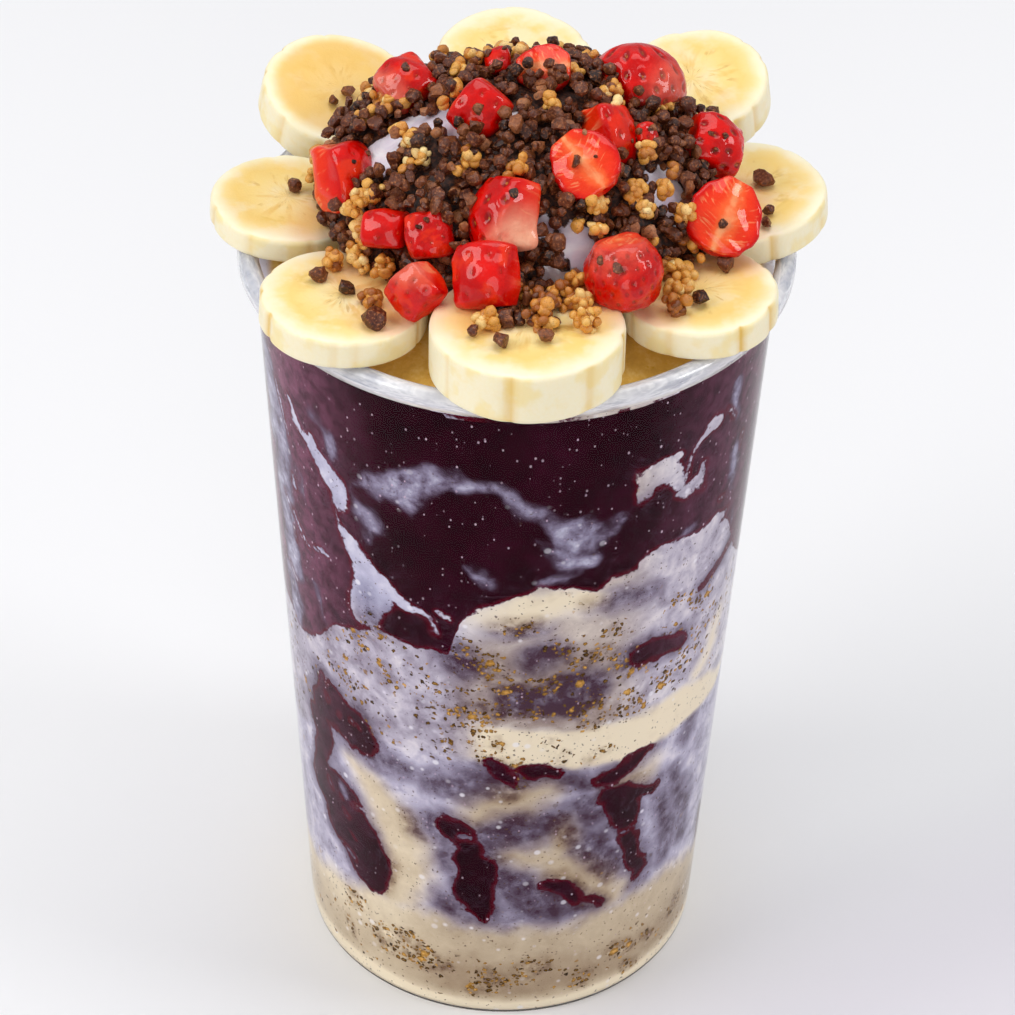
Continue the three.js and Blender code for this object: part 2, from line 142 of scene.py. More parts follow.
# Strawberry pieces: cut, size, middle, direction of the skin, direction of the tip.
BERRIES = [
    ("wedge", 0.92, (-29, -4.9, 171.8), (0.6, -0.6, 0.5), (0.2, -0.5, -0.8)),
    ("block", 0.69, (-19.8, 8.9, 182.1), (-0.2, -0.5, 0.9), (-0.7, -0.6, 0)),
    ("wedge", 0.74, (-7.0, -3.5, 184.6), (-0.3, -0.7, 0.6), (-0.6, -0.5, -0.5)),
    ("block", 0.92, (-2.7, -21.3, 176.2), (-0.9, -0.3, 0.3), (0.2, -0.5, -0.8)),
    ("half", 0.50, (11.3, -14.0, 181.1), (0.2, 0.6, -0.75), (0.6, -0.5, -0.5)),
    ("wedge", 0.83, (16.3, -4.1, 180.9), (0.7, -0.5, 0.5), (0.2, -0.6, -0.7)),
    ("point", 0.76, (20.8, 13.2, 182.3), (0.5, -0.6, 0.3), (0.05, 0.3, 0.95)),
    ("half", 0.39, (3.9, 9.4, 184.3), (0.1, 0.5, -0.9), (1, 0.1, 0)),
    ("chip", 0.60, (-4.1, 12.9, 184.1), (0, -0.6, 0.8), (1, 0.2, 0)),
    ("block", 0.74, (34.0, 3.8, 174.1), (0.3, -0.5, 0.8), (-0.9, 0, 0.3)),
    ("half", 0.55, (35, -10.6, 168.8), (-0.2, 0.65, -0.7), (-0.4, -0.5, -0.75)),
    ("tip", 0.54, (18.1, -28.6, 169.4), (0.2, -0.9, 0.3), (0.2, -0.5, -0.85)),
    ("wedge", 0.68, (-16.9, -32.6, 167.7), (-0.6, -0.7, 0.4), (-0.6, 0, -0.8)),
    ("wedge", 0.86, (-5.2, -32.9, 171.7), (-0.7, -0.6, 0.4), (0.3, -0.3, -0.9)),
    ("block", 0.61, (-14.9, -22.2, 172.1), (0, -0.8, 0.6), (0.2, -0.5, -0.8)),
    ("chip", 0.90, (-22.4, -18.8, 170.4), (-0.3, -0.8, 0.5), (0, -0.5, -0.8)),
    ("chip", 0.50, (21.6, -4.2, 181.6), (0.3, -0.8, 0.5), (0, -0.5, -0.8)),
]

# How cream and acai swirl against the wall, as strokes of (degrees from the front, height,
# half width). "cream" and "plum" have sharp edges, the others fade out.
SWIRLS = {
    "cream": [
        [(-61, 137, 0.7), (-59, 133, 1), (-54, 131, 1.3), (-51, 129, 1.9), (-48, 127, 2.5),
         (-44, 125, 2.9), (-43, 122, 2.1)], [(-53, 132, 1.2), (-52, 131, 1)],
        [(-45, 119, 0.4), (-43, 116, 0.8), (-41, 113, 1.6), (-37, 110, 2.2), (-35, 107, 3.2),
         (-34, 104, 4.2), (-37, 98, 4)],
        [(-30, 106, 2.4), (-26, 104, 1.6), (-22, 103, 0.9), (-19, 101, 0.5), (-18, 99, 0.3)],
        [(-16, 104, 0.9), (-15, 103, 0.8)], [(-67, 136, 0.5), (-65, 132, 0.5), (-63, 128, 0.4)],
        [(-68, 111, 0.8), (-65, 109, 0.6), (-60, 106, 0.5), (-56, 105, 0.4)],
        [(-53, 106, 0.8), (-50, 107, 0.8)], [(-65, 104, 0.4), (-64, 102, 0.6)],
        [(-61, 118, 0.6), (-61, 116, 0.8)], [(-69, 94, 0.5), (-64, 92, 0.7)],
        [(30, 128, 0.5), (32, 130, 1.6), (33, 134, 2.3), (36, 135, 2), (40, 135, 1)],
        [(34, 133, 2.2), (37, 132, 2.6), (42, 128, 1.2)],
        [(43, 129, 0.8), (44, 132, 0.6), (45, 134, 0.5), (47, 136, 0.9), (50, 138, 1.8),
         (53, 137, 1.4)], [(42, 126, 1.1), (46, 126, 1.4), (49, 125, 1.5), (50, 129, 0.7)],
        [(57, 138, 0.4), (60, 135, 0.5)], [(59, 117, 0.6), (61, 117, 0.4)],
        [(35, 112, 2.6), (39, 113, 3), (45, 111, 3), (52, 110, 3), (58, 111, 2.2), (62, 111, 1)],
        [(62, 101, 1), (68, 101, 1)], [(66, 125, 0.4), (67, 128, 0.5)],
    ],
    "plum": [
        [(-55, 67, 4.4), (-49, 68, 5.4), (-43, 67, 5.4), (-40, 65, 3.9)],
        [(-58, 61, 3.7), (-55, 58, 3.1), (-59, 51, 2.3), (-57, 46, 3.7)],
        [(-57, 45, 5.2), (-50, 43, 7.3), (-46, 38, 7.6), (-42, 33, 6.6), (-39, 29, 3.7)],
        [(-16, 51, 1.6), (-13, 50, 2.4), (-10, 48, 2.6), (-8, 45, 2.4)],
        [(-9, 43, 2.8), (-6, 40, 4.2), (-8, 35, 3.8), (-6, 30, 3), (-5, 27, 1.4)],
        [(28, 56, 1.8), (34, 55, 3), (44, 52, 1)],
        [(33, 52, 4), (35, 47, 2.8), (36, 43, 2), (39, 37, 2.4), (42, 32, 1.6), (41, 29, 0.8)],
        [(26, 60, 1.2), (30, 61, 1.9), (37, 63, 1.4), (41, 64, 0.6)],
        [(-3, 69, 1.4), (-1, 67, 2.2), (1, 63, 1)], [(4, 66, 1.2), (9, 66, 2), (14, 65, 1.2)],
        [(13, 36, 1.4), (18, 34, 2.1), (23, 30, 1.2)], [(26, 29, 0.8), (29, 27, 0.9)],
        [(78, 30, 0.8), (79, 21, 0.8)], [(54, 98, 0.8), (62, 100, 1.1), (70, 102, 1)],
        [(36, 90, 2.6), (41, 89, 2.4), (49, 88, 1.4)], [(-55, 72, 2.4), (-49, 71, 2.6)],
        [(-30, 100, 0.5), (-25, 99, 0.6)],
    ],
    "drops": [
        [(-11, 48, 0.7), (-8, 48, 0.8)], [(-51, 52.6, 0.6), (-50.5, 50.8, 0.55)],
        [(-53, 74.5, 0.7), (-53, 73, 0.5)], [(-54, 69.9, 0.4), (-53, 68.4, 0.45)],
        [(-48, 67.3, 0.4), (-48, 66.3, 0.4)], [(-43, 68.1, 0.65), (-42.5, 68, 0.5)],
        [(-40, 67.8, 0.4), (-40, 67.4, 0.4)], [(-55, 46, 0.4), (-54, 45.2, 0.4)],
        [(-50, 45.2, 0.4), (-50, 44.8, 0.4)],
        [(-45, 45.4, 0.4), (-42, 46.1, 0.7), (-39, 46.7, 0.3)],
        [(-42, 46.3, 0.5), (-41, 48.2, 0.3)], [(-47.5, 41.9, 0.35), (-46.5, 41.1, 0.4)],
        [(-47, 36.8, 0.35), (-46.5, 36.4, 0.35)], [(-52, 31.9, 0.35), (-47.5, 31.3, 0.55)],
        [(34, 44, 0.5), (38, 45, 0.3)],
    ],
    "veil": [
        [(-38, 127, 1.2), (-34, 131, 2.4), (-29, 132, 3.2), (-24, 133, 3.6), (-20, 135, 3.4),
         (-15, 135, 3), (-10, 135, 2.2), (-6, 135, 1.4)],
        [(-25, 131, 3), (-23, 128, 2.6), (-23, 126, 1.2)],
        [(-38, 126, 1), (-35, 122, 2.4), (-33, 119, 2.4), (-34, 115, 1.4)],
        [(-6, 137, 0.9), (-3, 135, 0.8), (1, 132, 1), (4, 130, 1.8), (8, 128, 1.8), (12, 125, 3),
         (16, 123, 4.2), (20, 122, 3.2), (23, 123, 1.8), (25, 126, 0.8)],
        [(6, 124, 0.6), (11, 120, 1.2), (15, 117, 1.8), (20, 117, 1.4), (22, 119, 1)],
        [(9, 114, 0.6), (14, 113, 0.8), (17, 114, 0.6)], [(-10, 116, 0.8), (-6, 113, 1)],
        [(-74, 138, 4.4), (-71, 126, 5.4), (-69, 112, 5), (-67, 98, 4.4), (-67, 77, 3.4)],
        [(-58, 121, 1.2), (-57, 114, 1.2)], [(-54, 96, 1), (-52, 90, 1.2), (-47, 86, 1.2)],
        [(-52, 137, 1.2), (-47, 135, 1.6), (-46, 132, 0.8)],
        [(59, 142, 0.8), (64, 125, 1), (67, 106, 1.2)], [(42, 115, 0.8), (48, 116, 0.8)],
        [(-46, 53, 1.6), (-44, 50.5, 1.3)], [(-50, 48, 0.8), (-48, 46.5, 0.6)],
    ],
    "shade": [
        [(-36, 62, 2.4), (-31, 62, 2), (-26, 62, 1.4)],
        [(-18, 61, 2.6), (-13, 61, 3), (-6, 63, 3.4), (1, 62, 2.6)],
        [(-20, 51, 2.2), (-17, 47, 2.4), (-15, 41, 2)],
        [(-6, 50, 2.6), (1, 51, 3.6), (8, 52, 3.6), (15, 52, 2.6)], [(-1, 43, 1.6), (-5, 47, 2)],
        [(2, 37, 3), (9, 33, 4.4), (16, 30, 4.4), (22, 29, 3)], [(-15, 31, 2.6), (-12, 27, 2.4)],
        [(20, 48, 2.2), (26, 43, 3.2), (32, 36, 3.2)], [(22, 55, 1.8), (25, 52, 2.2)],
        [(47, 48, 1.9), (53, 38, 2.4), (52, 31, 2.2)],
        [(52, 52, 1.8), (60, 41, 2.4), (61, 32, 2.2)], [(17, 63, 1.8), (24, 60, 1.8)],
        [(-25, 50, 1.6), (-23, 47, 1.6)], [(-65, 13, 2), (-64, 10, 2)],
        [(7, 95, 2.4), (11, 96, 2.4)], [(16, 87, 2.8), (23, 86, 2.8)],
        [(34, 91, 3.2), (48, 88, 2.6)], [(-14, 96, 2.4), (-10, 93, 2.4)],
        [(-2, 102, 1.6), (8, 102, 1.6)], [(2, 85, 2.6), (9, 84, 2.8), (16, 83, 2.6)],
        [(61, 66, 1.8), (57, 60, 2)], [(-36, 103, 1.4), (-35, 98, 2)],
        [(30, 127, 1), (33, 128, 1)], [(20, 106, 1.2), (28, 106, 1.7), (36, 105, 1.7)],
    ],
    "warm": [
        [(-44, 58, 0.6), (-38, 54, 3), (-32, 49, 4.6), (-28, 43, 4.6), (-27, 36, 4.8),
         (-31, 28, 4.8)], [(-8, 55, 2.4), (-1, 58, 3), (7, 59, 3), (12, 60, 2)],
        [(3, 44, 1.8), (11, 44, 3), (18, 39, 3.6), (25, 34, 3.2), (34, 28, 2.6)],
        [(15, 44, 2.6), (17, 49, 2)], [(30, 59, 1.2), (41, 58, 1.6)],
        [(-12, 105, 1.6), (-5, 105, 3.2), (3, 108, 3.6), (11, 108, 3.6), (18, 108, 3.2)],
        [(-1, 105, 3), (8, 106, 3)], [(58, 75, 1.6), (65, 79, 1.4), (67, 85, 1)],
    ],
    "clots": [
        [(-40, 91, 1.5), (-38, 88, 1.6)], [(-35, 95, 1), (-32, 95, 1)],
        [(-32, 86, 1.4), (-30, 84, 1.4)], [(-49, 79, 1), (-43, 78, 1.4)],
        [(-20, 88, 1), (-14, 86, 1)], [(-10, 97, 1.8), (-6, 94, 2.4)], [(1, 102, 1), (5, 102, 1)],
        [(12, 97, 0.9), (14, 97, 0.9)], [(18, 93, 1.6), (25, 94, 1.8)],
        [(25, 99, 1.2), (28, 99, 1.2)], [(7, 88, 2), (12, 89, 2)], [(-2, 91, 1.6), (3, 87, 2.2)],
        [(29, 90, 1.2), (32, 87, 1.2)], [(44, 80, 1.6), (52, 82, 1.8), (59, 85, 1.4), (63, 87, 1)],
        [(45, 99, 0.8), (59, 93, 0.8)], [(-15, 79, 2.2), (-10, 79, 2.6), (-6, 78, 2)],
        [(-2, 89, 1.8), (3, 89, 1.8)], [(-5, 82, 1.2), (6, 81, 1.4)],
        [(-18, 81, 1), (-16, 76, 1.2)], [(-16, 72, 1.2), (-16, 72, 1.2)],
        [(9, 88, 2.2), (10, 88, 2.2)], [(22, 82, 1.2), (23, 82, 1.2)],
        [(18, 81, 1.2), (19, 80, 1.2)], [(31, 78, 1.6), (37, 78, 1.4)],
        [(21, 77, 1.6), (24, 77, 1.6)], [(11, 73, 1), (12, 73, 1)], [(14, 69, 0.8), (16, 69, 0.8)],
        [(23, 68, 1), (27, 69, 0.9)], [(-2, 74, 1.2), (-2, 73, 1)], [(-6, 71, 1), (-6, 70, 1)],
        [(1, 68, 1.6), (4, 67, 1.6)], [(3, 63, 1), (5, 63, 1)], [(-48, 19, 1.2), (-43, 20, 1.2)],
        [(-36, 15, 1.4), (-34, 15, 1.4)], [(-32, 14, 2), (-27, 15, 2.6), (-21, 12, 2.4)],
        [(-39, 13, 1.2), (-36, 12, 1.4)], [(-16, 11, 1.2), (-15, 11, 1.2)],
        [(-3, 11, 1.8), (0, 9, 2.4), (-2, 7, 1.6)], [(6, 13, 1.6), (12, 13, 1.8)],
        [(23, 7, 1.4), (27, 7, 1.8)], [(35, 12, 1.6), (40, 11, 1.8)],
        [(62, 10, 1.6), (64, 12, 1.6)], [(49, 11, 1.2), (50, 10, 1.2)], [(40, 5, 1), (43, 4, 1)],
        [(-50, 13, 1), (-48, 9, 1)], [(-6, 7, 1.4), (-7, 6, 1.2)],
    ],
}

# Lower and upper edge of the band of cream and granola, as (degrees from the front, height).
BAND_BOTTOM = [(-180, 69), (-110, 60), (-75, 52), (-59, 59), (-35, 67.6), (-14, 69), (1, 68),
               (23, 65.7), (34, 64.3), (59, 65.2), (72, 64), (110, 70), (150, 67), (180, 69)]
BAND_TOP = [(-180, 100), (-130, 92), (-75, 82), (-63, 80), (-55, 84), (-45, 91), (-33, 95),
            (-17, 94.3), (-13.5, 94.5), (-12.9, 98), (-12, 101.5), (-10, 104.4), (-7, 106.2),
            (-2, 108.3), (2, 110.2), (8, 111.9), (15, 111.2), (21, 109.6), (25, 111.6), (35, 113),
            (45, 113.3), (56, 112), (63, 111), (71, 100), (80, 92), (110, 94), (150, 106),
            (180, 100)]
# Upper edge of the cream at the bottom.
BASE_TOP = [(-180, 25), (-120, 22), (-78, 20), (-68, 19.6), (-53, 22), (-38, 26), (-25, 26.6),
            (-14, 24.4), (6, 24), (16, 22.8), (27, 24.3), (40, 24.9), (55, 25.7), (75, 20),
            (120, 23), (180, 25)]


# ---- Modelling helpers -------------------------------------------------------------------------
def start_clean():
    """Leaves nothing selected and no object in edit mode."""
    if bpy.context.object and bpy.context.object.mode != "OBJECT":
        bpy.ops.object.mode_set(mode="OBJECT")
    bpy.ops.object.select_all(action="DESELECT")


def pick(piece):
    """Makes this piece the active one and the only one selected."""
    start_clean()
    piece.select_set(True)
    bpy.context.view_layer.objects.active = piece


def added(name, mesh):
    """Adds an object with this mesh, selected."""
    piece = bpy.data.objects.new(name, mesh)
    bpy.context.collection.objects.link(piece)
    piece.select_set(True)
    return piece


def named(name):
    """The object that was just added, under its own name."""
    piece = bpy.context.object
    piece.name = name
    piece.data.name = name
    return piece


def turned(name, profile, steps):
    """A body spun about +Z from a profile of (radius, height) pairs in millimetres."""
    start_clean()
    bpy.ops.mesh.primitive_plane_add(size=MM)
    piece = named(name)
    bpy.ops.object.mode_set(mode="EDIT")
    bpy.ops.mesh.merge(type="CENTER")
    radius, height = profile[0]
    bpy.ops.transform.translate(value=(radius * MM, 0, height * MM))
    for (r0, z0), (r1, z1) in zip(profile, profile[1:]):
        step = ((r1 - r0) * MM, 0, (z1 - z0) * MM)
        bpy.ops.mesh.extrude_region_move(TRANSFORM_OT_translate={"value": step})
    bpy.ops.mesh.select_all(action="SELECT")
    bpy.ops.mesh.spin(steps=steps, angle=2 * math.pi, center=(0, 0, 0), axis=(0, 0, 1))
    bpy.ops.mesh.select_all(action="SELECT")
    bpy.ops.mesh.remove_doubles(threshold=0.002 * MM)
    bpy.ops.mesh.normals_make_consistent(inside=False)
    bpy.ops.object.mode_set(mode="OBJECT")
    return piece


def points_of(piece):
    """The piece's vertices in millimetres, one row each."""
    flat = np.empty(len(piece.data.vertices) * 3)
    piece.data.vertices.foreach_get("co", flat)
    return flat.reshape(-1, 3) / MM


def move_points(piece, points):
    """Puts the piece's vertices at these places, in millimetres."""
    piece.data.vertices.foreach_set("co", (points * MM).ravel())
    piece.data.update()


def store(piece, name, values):
    """Keeps a number or a vector per vertex, for a material to read."""
    kind, key = ("FLOAT", "value") if values.ndim == 1 else ("FLOAT_VECTOR", "vector")
    layer = piece.data.attributes.new(name, kind, "POINT")
    layer.data.foreach_set(key, values.astype(np.float32).ravel())


def modifier(piece, kind, **settings):
    """Adds a modifier and applies it."""
    bpy.context.view_layer.objects.active = piece
    new = piece.modifiers.new(kind.title(), kind)
    for key, value in settings.items():
        setattr(new, key, value)
    bpy.ops.object.modifier_apply(modifier=new.name)


def smooth(piece, angle):
    """Shades a piece smooth, but keeps edges sharper than this angle in degrees."""
    pick(piece)
    bpy.ops.object.shade_smooth_by_angle(angle=math.radians(angle))


def finish_piece(piece, material, slot, *nodes):
    """Gives a piece its material, the nodes it stands for and its body. The slot is not used."""
    piece.data.materials.clear()
    piece.data.materials.append(material)
    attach(piece, "root")
    if nodes:
        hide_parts(*nodes)


def wall_radius(height):
    """Outside radius of the cup's wall at a height."""
    flare = WALL_TOP_RADIUS - WALL_FOOT_RADIUS
    return WALL_FOOT_RADIUS + flare * height / (CUP_HEIGHT - RIM_DROP)


# ---- Shader maths ------------------------------------------------------------------------------
class Wire:
    """A socket of a material, so that sums on it read as plain Python."""

    def __init__(self, look, socket):
        self.look, self.socket = look, socket

    def math(self, operation, *others):
        values = dict(enumerate((self, *others)))
        return self.look.node("ShaderNodeMath", {"operation": operation}, values)

    def __add__(self, other):
        return self.math("ADD", other)

    __radd__ = __add__

    def __mul__(self, other):
        return self.math("MULTIPLY", other)

    __rmul__ = __mul__

    def __sub__(self, other):
        return self.math("SUBTRACT", other)

    def __rsub__(self, other):
        return self.look.node("ShaderNodeMath", {"operation": "SUBTRACT"}, {0: other, 1: self})

    def __truediv__(self, other):
        return self.math("DIVIDE", other)

    def __pow__(self, other):
        return self.math("POWER", other)


class Look:
    """A material in the making."""

    def __init__(self, name):
        self.material = bpy.data.materials.new(name)
        self.material.use_nodes = True
        self.tree = self.material.node_tree
        self.tree.nodes.clear()

    def node(self, kind, settings=None, inputs=None, output=0):
        """Adds any node: its settings first, then the values or links of its sockets."""
        made = self.tree.nodes.new(kind)
        for key, value in (settings or {}).items():
            if key == "stops":
                ramp = made.color_ramp.elements
                ramp.remove(ramp[1])
                ramp[0].position, ramp[0].color = value[0][0], (*value[0][1], 1)
                for place, tone in value[1:]:
                    ramp.new(place).color = (*tone, 1)
            else:
                setattr(made, key, value)
        for key, value in (inputs or {}).items():
            if isinstance(value, Wire):
                self.tree.links.new(value.socket, made.inputs[key])
            elif made.inputs[key].type == "RGBA":
                made.inputs[key].default_value = (*value, 1)
            else:
                made.inputs[key].default_value = value
        return Wire(self, made.outputs[output]) if made.outputs else None

    def place(self):
        """Object coordinates in millimetres."""
        return self.scaled(self.node("ShaderNodeTexCoord", output="Object"), 1 / MM)

    def scaled(self, vector, scale):
        inputs = {0: vector, "Scale": scale}
        return self.node("ShaderNodeVectorMath", {"operation": "SCALE"}, inputs)

    def shifted(self, vector, by):
        return self.node("ShaderNodeVectorMath", {"operation": "ADD"}, {0: vector, 1: by})

    def parts(self, vector):
        split = self.node("ShaderNodeSeparateXYZ", None, {0: vector})
        return [Wire(self, split.socket.node.outputs[i]) for i in range(3)]

    def join(self, x, y, z):
        return self.node("ShaderNodeCombineXYZ", None, {0: x, 1: y, 2: z})

    def attribute(self, name, output="Fac"):
        return self.node("ShaderNodeAttribute", {"attribute_name": name}, None, output)

    def noise(self, vector, scale, detail=3.0, roughness=0.55, distortion=0.0):
        inputs = {"Vector": vector, "Scale": scale, "Detail": detail, "Roughness": roughness,
                  "Distortion": distortion}
        return self.node("ShaderNodeTexNoise", None, inputs)

    def cells(self, vector, scale):
        """Distance to the nearest of scattered points, and three random numbers for that point."""
        near = self.node("ShaderNodeTexVoronoi", None, {"Vector": vector, "Scale": scale})
        return near, self.parts(Wire(self, near.socket.node.outputs["Color"]))

    def dots(self, vector, scale, spread, outer, inner):
        """Soft round dots of varied size about scattered points, and those random numbers."""
        near, chance = self.cells(vector, scale)
        return self.step(near - chance[1] * spread, outer, inner), chance

    def step(self, value, low, high):
        """0 below low, 1 above high, smooth between; the other way round if low is the higher."""
        inputs = {"Value": value, "From Min": low, "From Max": high}
        return self.node("ShaderNodeMapRange", {"interpolation_type": "SMOOTHSTEP"}, inputs)

    def mix(self, factor, a, b):
        inputs = {0: factor, 6: a, 7: b}
        return self.node("ShaderNodeMix", {"data_type": "RGBA"}, inputs, 2)

    def coats(self, base, *coats):
        """Lays colours over a base one after another, each as far as its mask says."""
        for mask, tone in coats:
            base = self.mix(mask, base, tone)
        return base

    def ramp(self, value, stops):
        return self.node("ShaderNodeValToRGB", {"stops": stops}, {0: value})

    def bump(self, height, distance, strength):
        inputs = {"Height": height, "Distance": distance * MM, "Strength": strength}
        return self.node("ShaderNodeBump", None, inputs)

    def surface(self, **sockets):
        """The main shader, its sockets named with underscores for spaces."""
        inputs = {key.replace("_", " "): value for key, value in sockets.items()}
        return self.node("ShaderNodeBsdfPrincipled", None, inputs)

    def done(self, shader):
        self.node("ShaderNodeOutputMaterial", None, {"Surface": shader})
        return self.material


def hue(red, green, blue):
    """A screen colour of 0 to 255 as the linear colour that shaders take."""
    parts = [part / 255 for part in (red, green, blue)]
    return tuple(p / 12.92 if p <= 0.04045 else ((p + 0.055) / 1.055) ** 2.4 for p in parts)


# ---- Settings ----------------------------------------------------------------------------------
def colour(name, description, default):
    return bpy.props.FloatVectorProperty(name=name, description=description, size=3, min=0, max=1,
                                         subtype="COLOR", default=default)


def length(name, description, default, low, high):
    """A length property; its default and limits are in millimetres."""
    return bpy.props.FloatProperty(name=name, description=description, default=default * MM,
                                   min=low * MM, max=high * MM, unit="LENGTH", subtype="DISTANCE")


class AcaiCupColours(bpy.types.PropertyGroup):
    """Colours of the cup's contents and toppings."""

    acai: colour("Acai", "Dark frozen acai", hue(37, 0, 12))
    cold_cream: colour("Cold cream", "Cream seen through a film of acai", hue(217, 210, 217))
    warm_cream: colour("Warm cream", "Plain condensed cream", hue(236, 221, 193))
    banana: colour("Banana", "Cut face of a slice", hue(252, 226, 148))
    banana_heart: colour("Banana heart", "Streaks about the middle", hue(206, 158, 76))
    berry_skin: colour("Strawberry skin", "Ripe skin", hue(192, 0, 0))
    berry_flesh: colour("Strawberry flesh", "Cut flesh", hue(236, 46, 10))
    chocolate: colour("Chocolate", "Bits of dark chocolate", hue(90, 40, 20))
    granola: colour("Granola", "Toasted granola", hue(218, 146, 56))
    floor: colour("Floor", "Plain pale table", hue(241, 241, 243))


class AcaiCupSizes(bpy.types.PropertyGroup):
    """Sizes and counts of what lies on and in the cup."""

    wall: length("Wall", "Thickness of the cup's wall", WALL, 0.3, 2)
    flute: length("Flute depth", "Depth of the creases in a slice's side", 0.5, 0, 1.5)
    berry_grain: length("Berry grain", "Size of the finest detail on a berry piece", 0.4, 0.2, 1)
    seed_pitch: length("Seed pitch", "Distance between rows of seeds on a whole berry", 3.7, 1, 6)
    bit: length("Bit", "Usual width of a chocolate bit", 2.8, 1, 6)
    bead: length("Bead", "Usual width of a granola bead", 1.7, 0.8, 4)
    bits: bpy.props.IntProperty(
        name="Bits", description="Places on the mound where chocolate may lie", default=2050,
        min=10, max=2400)


def colours():
    return bpy.context.scene.acai_cup_colours


def sizes():
    return bpy.context.scene.acai_cup_sizes


# ---- Cup ---------------------------------------------------------------------------------------
def sheet_profile(centreline, thickness):
    """A closed wall around an open line of (radius, height), from the axis and back to it."""
    line = np.array(centreline, float)
    along = np.gradient(line, axis=0)
    along /= np.linalg.norm(along, axis=1)[:, None]
    out = np.column_stack([along[:, 1], -along[:, 0]]) * thickness / 2
    outer, inner = line + out, line - out
    outer[0, 0] = inner[0, 0] = 0
    return [tuple(p) for p in outer] + [tuple(p) for p in inner[::-1]]


def cup_centreline():
    """The middle of the cup's wall: across the foot, up the side and over the rolled rim."""
    foot = [(0, 1.8), (15, 1.8), (29.6, 1.8), (30.6, 1.75), (31.4, 1.5), (32.1, 1.0), (32.8, 0.55),
            (33.6, 0.4), (34.6, 0.4), (35.5, 0.45), (36.2, 0.8), (36.6, 1.5)]
    wall = [(wall_radius(z) - WALL / 2, z) for z in np.linspace(2.6, 154, 44)]
    curl = [(CURL_CENTRE[0] - CURL_REACH[0] * math.cos(a),
             CURL_CENTRE[1] + CURL_REACH[1] * math.sin(a)) for a in np.linspace(0.05, math.pi, 16)]
    return foot + wall + curl + [(48.62, 154.5), (48.6, 154.0)]


def plastic_look():
    look = Look("clear_plastic")
    place = look.place()
    x, y, z = look.parts(place)
    radius = (x * x + y * y) ** 0.5
    around = look.join(x / radius * 5, y / radius * 5, z * 0.75 + radius * 0.5)
    wavy, streaky = look.noise(place, 0.05, 2), look.noise(around, 1.0, 4, 0.6)
    glass = look.surface(Base_Color=hue(250, 251, 254), Roughness=0.02, IOR=1.13,
                         Transmission_Weight=1.0, Normal=look.bump(wavy, 0.1, 0.4))
    grey = look.ramp(streaky, [(0.3, hue(150, 154, 168)), (0.42, hue(196, 198, 206)),
                               (0.52, hue(240, 240, 242)), (0.62, hue(208, 208, 214)),
                               (0.7, hue(246, 245, 244))])
    rolled = look.surface(Base_Color=grey, Roughness=0.1, Coat_Weight=0.6, Coat_Roughness=0.04,
                          Normal=look.bump(streaky, 0.35, 0.5))
    milky = look.step(z, 153.0, 155.0) * (0.25 + streaky * 0.9).math("MINIMUM", 0.9)
    solid = look.node("ShaderNodeMixShader", None, {0: milky, 1: glass, 2: rolled})
    clear = look.node("ShaderNodeBsdfTransparent", None, {"Color": hue(250, 251, 253)})
    shadow = look.node("ShaderNodeLightPath", None, None, "Is Shadow Ray")
    return look.done(look.node("ShaderNodeMixShader", None, {0: shadow, 1: solid, 2: clear}))


class ACAI_OT_cup(bpy.types.Operator):
    """Turns the clear cup with its rolled rim and recessed foot"""

    bl_idname = "acai.cup"
    bl_label = "Cup"

    def execute(self, context):
        profile = sheet_profile(cup_centreline(), sizes().wall / MM)
        cup = turned("clear_cup", profile, CUP_STEPS)
        smooth(cup, 50)
        finish_piece(cup, plastic_look(), "clear_plastic", "cup")
        return {"FINISHED"}


# ---- Filling -----------------------------------------------------------------------------------
LAYERS = [  # node, slot, nominal bottom and top
    ("cream_base_layer", "cream", FILL_FLOOR, 25),
    ("marbled_lower_layer", "marbled_acai", 25, 69),
    ("cream_granola_layer", "cream", 69, 102),
    ("acai_upper_layer", "acai", 102, FILL_LEVEL),
]
OVERLAP = 0.05  # how far each layer reaches into the one below
AROUND = math.radians(1) * 42.0  # millimetres of wall per degree


def layer_tops(x, y):
    """Heights of the three surfaces between the four layers."""
    return (25 + 0.05 * x + 0.9 * np.sin(x / 9 + 1) + 0.7 * np.cos(y / 8),
            69 - 0.11 * x + 2.2 * np.sin(y / 11 - x / 14),
            102 + 0.3 * x + 2.4 * np.sin(x / 8 + 0.6) + 1.8 * np.cos(y / 10))


def crown(x, y):
    """Height of the filling's own top, a little higher in the middle."""
    share = np.clip(np.hypot(x, y) / (wall_radius(FILL_LEVEL) - WALL), 0, 1)
    return FILL_LEVEL + (FILL_CROWN - FILL_LEVEL) * (1 - share ** 7)


def eased(low, high, value):
    """0 below low, 1 above high, smooth between; the other way round if low is the higher."""
    share = np.clip((value - low) / (high - low), 0, 1)
    return share * share * (3 - 2 * share)


def drift(x, y, size, seed):
    """Smooth noise of -1 to 1 on a plane, for whole arrays."""
    grid = np.random.default_rng(seed).uniform(-1, 1, (64, 64))
    u, v = x / size, y / size
    i, j = np.floor(u).astype(int), np.floor(v).astype(int)
    f, g = u - i, v - j
    f, g = f * f * (3 - 2 * f), g * g * (3 - 2 * g)
    near = grid[i % 64, j % 64] * (1 - f) + grid[(i + 1) % 64, j % 64] * f
    far = grid[i % 64, (j + 1) % 64] * (1 - f) + grid[(i + 1) % 64, (j + 1) % 64] * f
    return near * (1 - g) + far * g


def rough(x, y, *waves):
    """Drifts of several (strength, size, seed) added up."""
    return sum(strength * drift(x, y, size, seed) for strength, size, seed in waves)


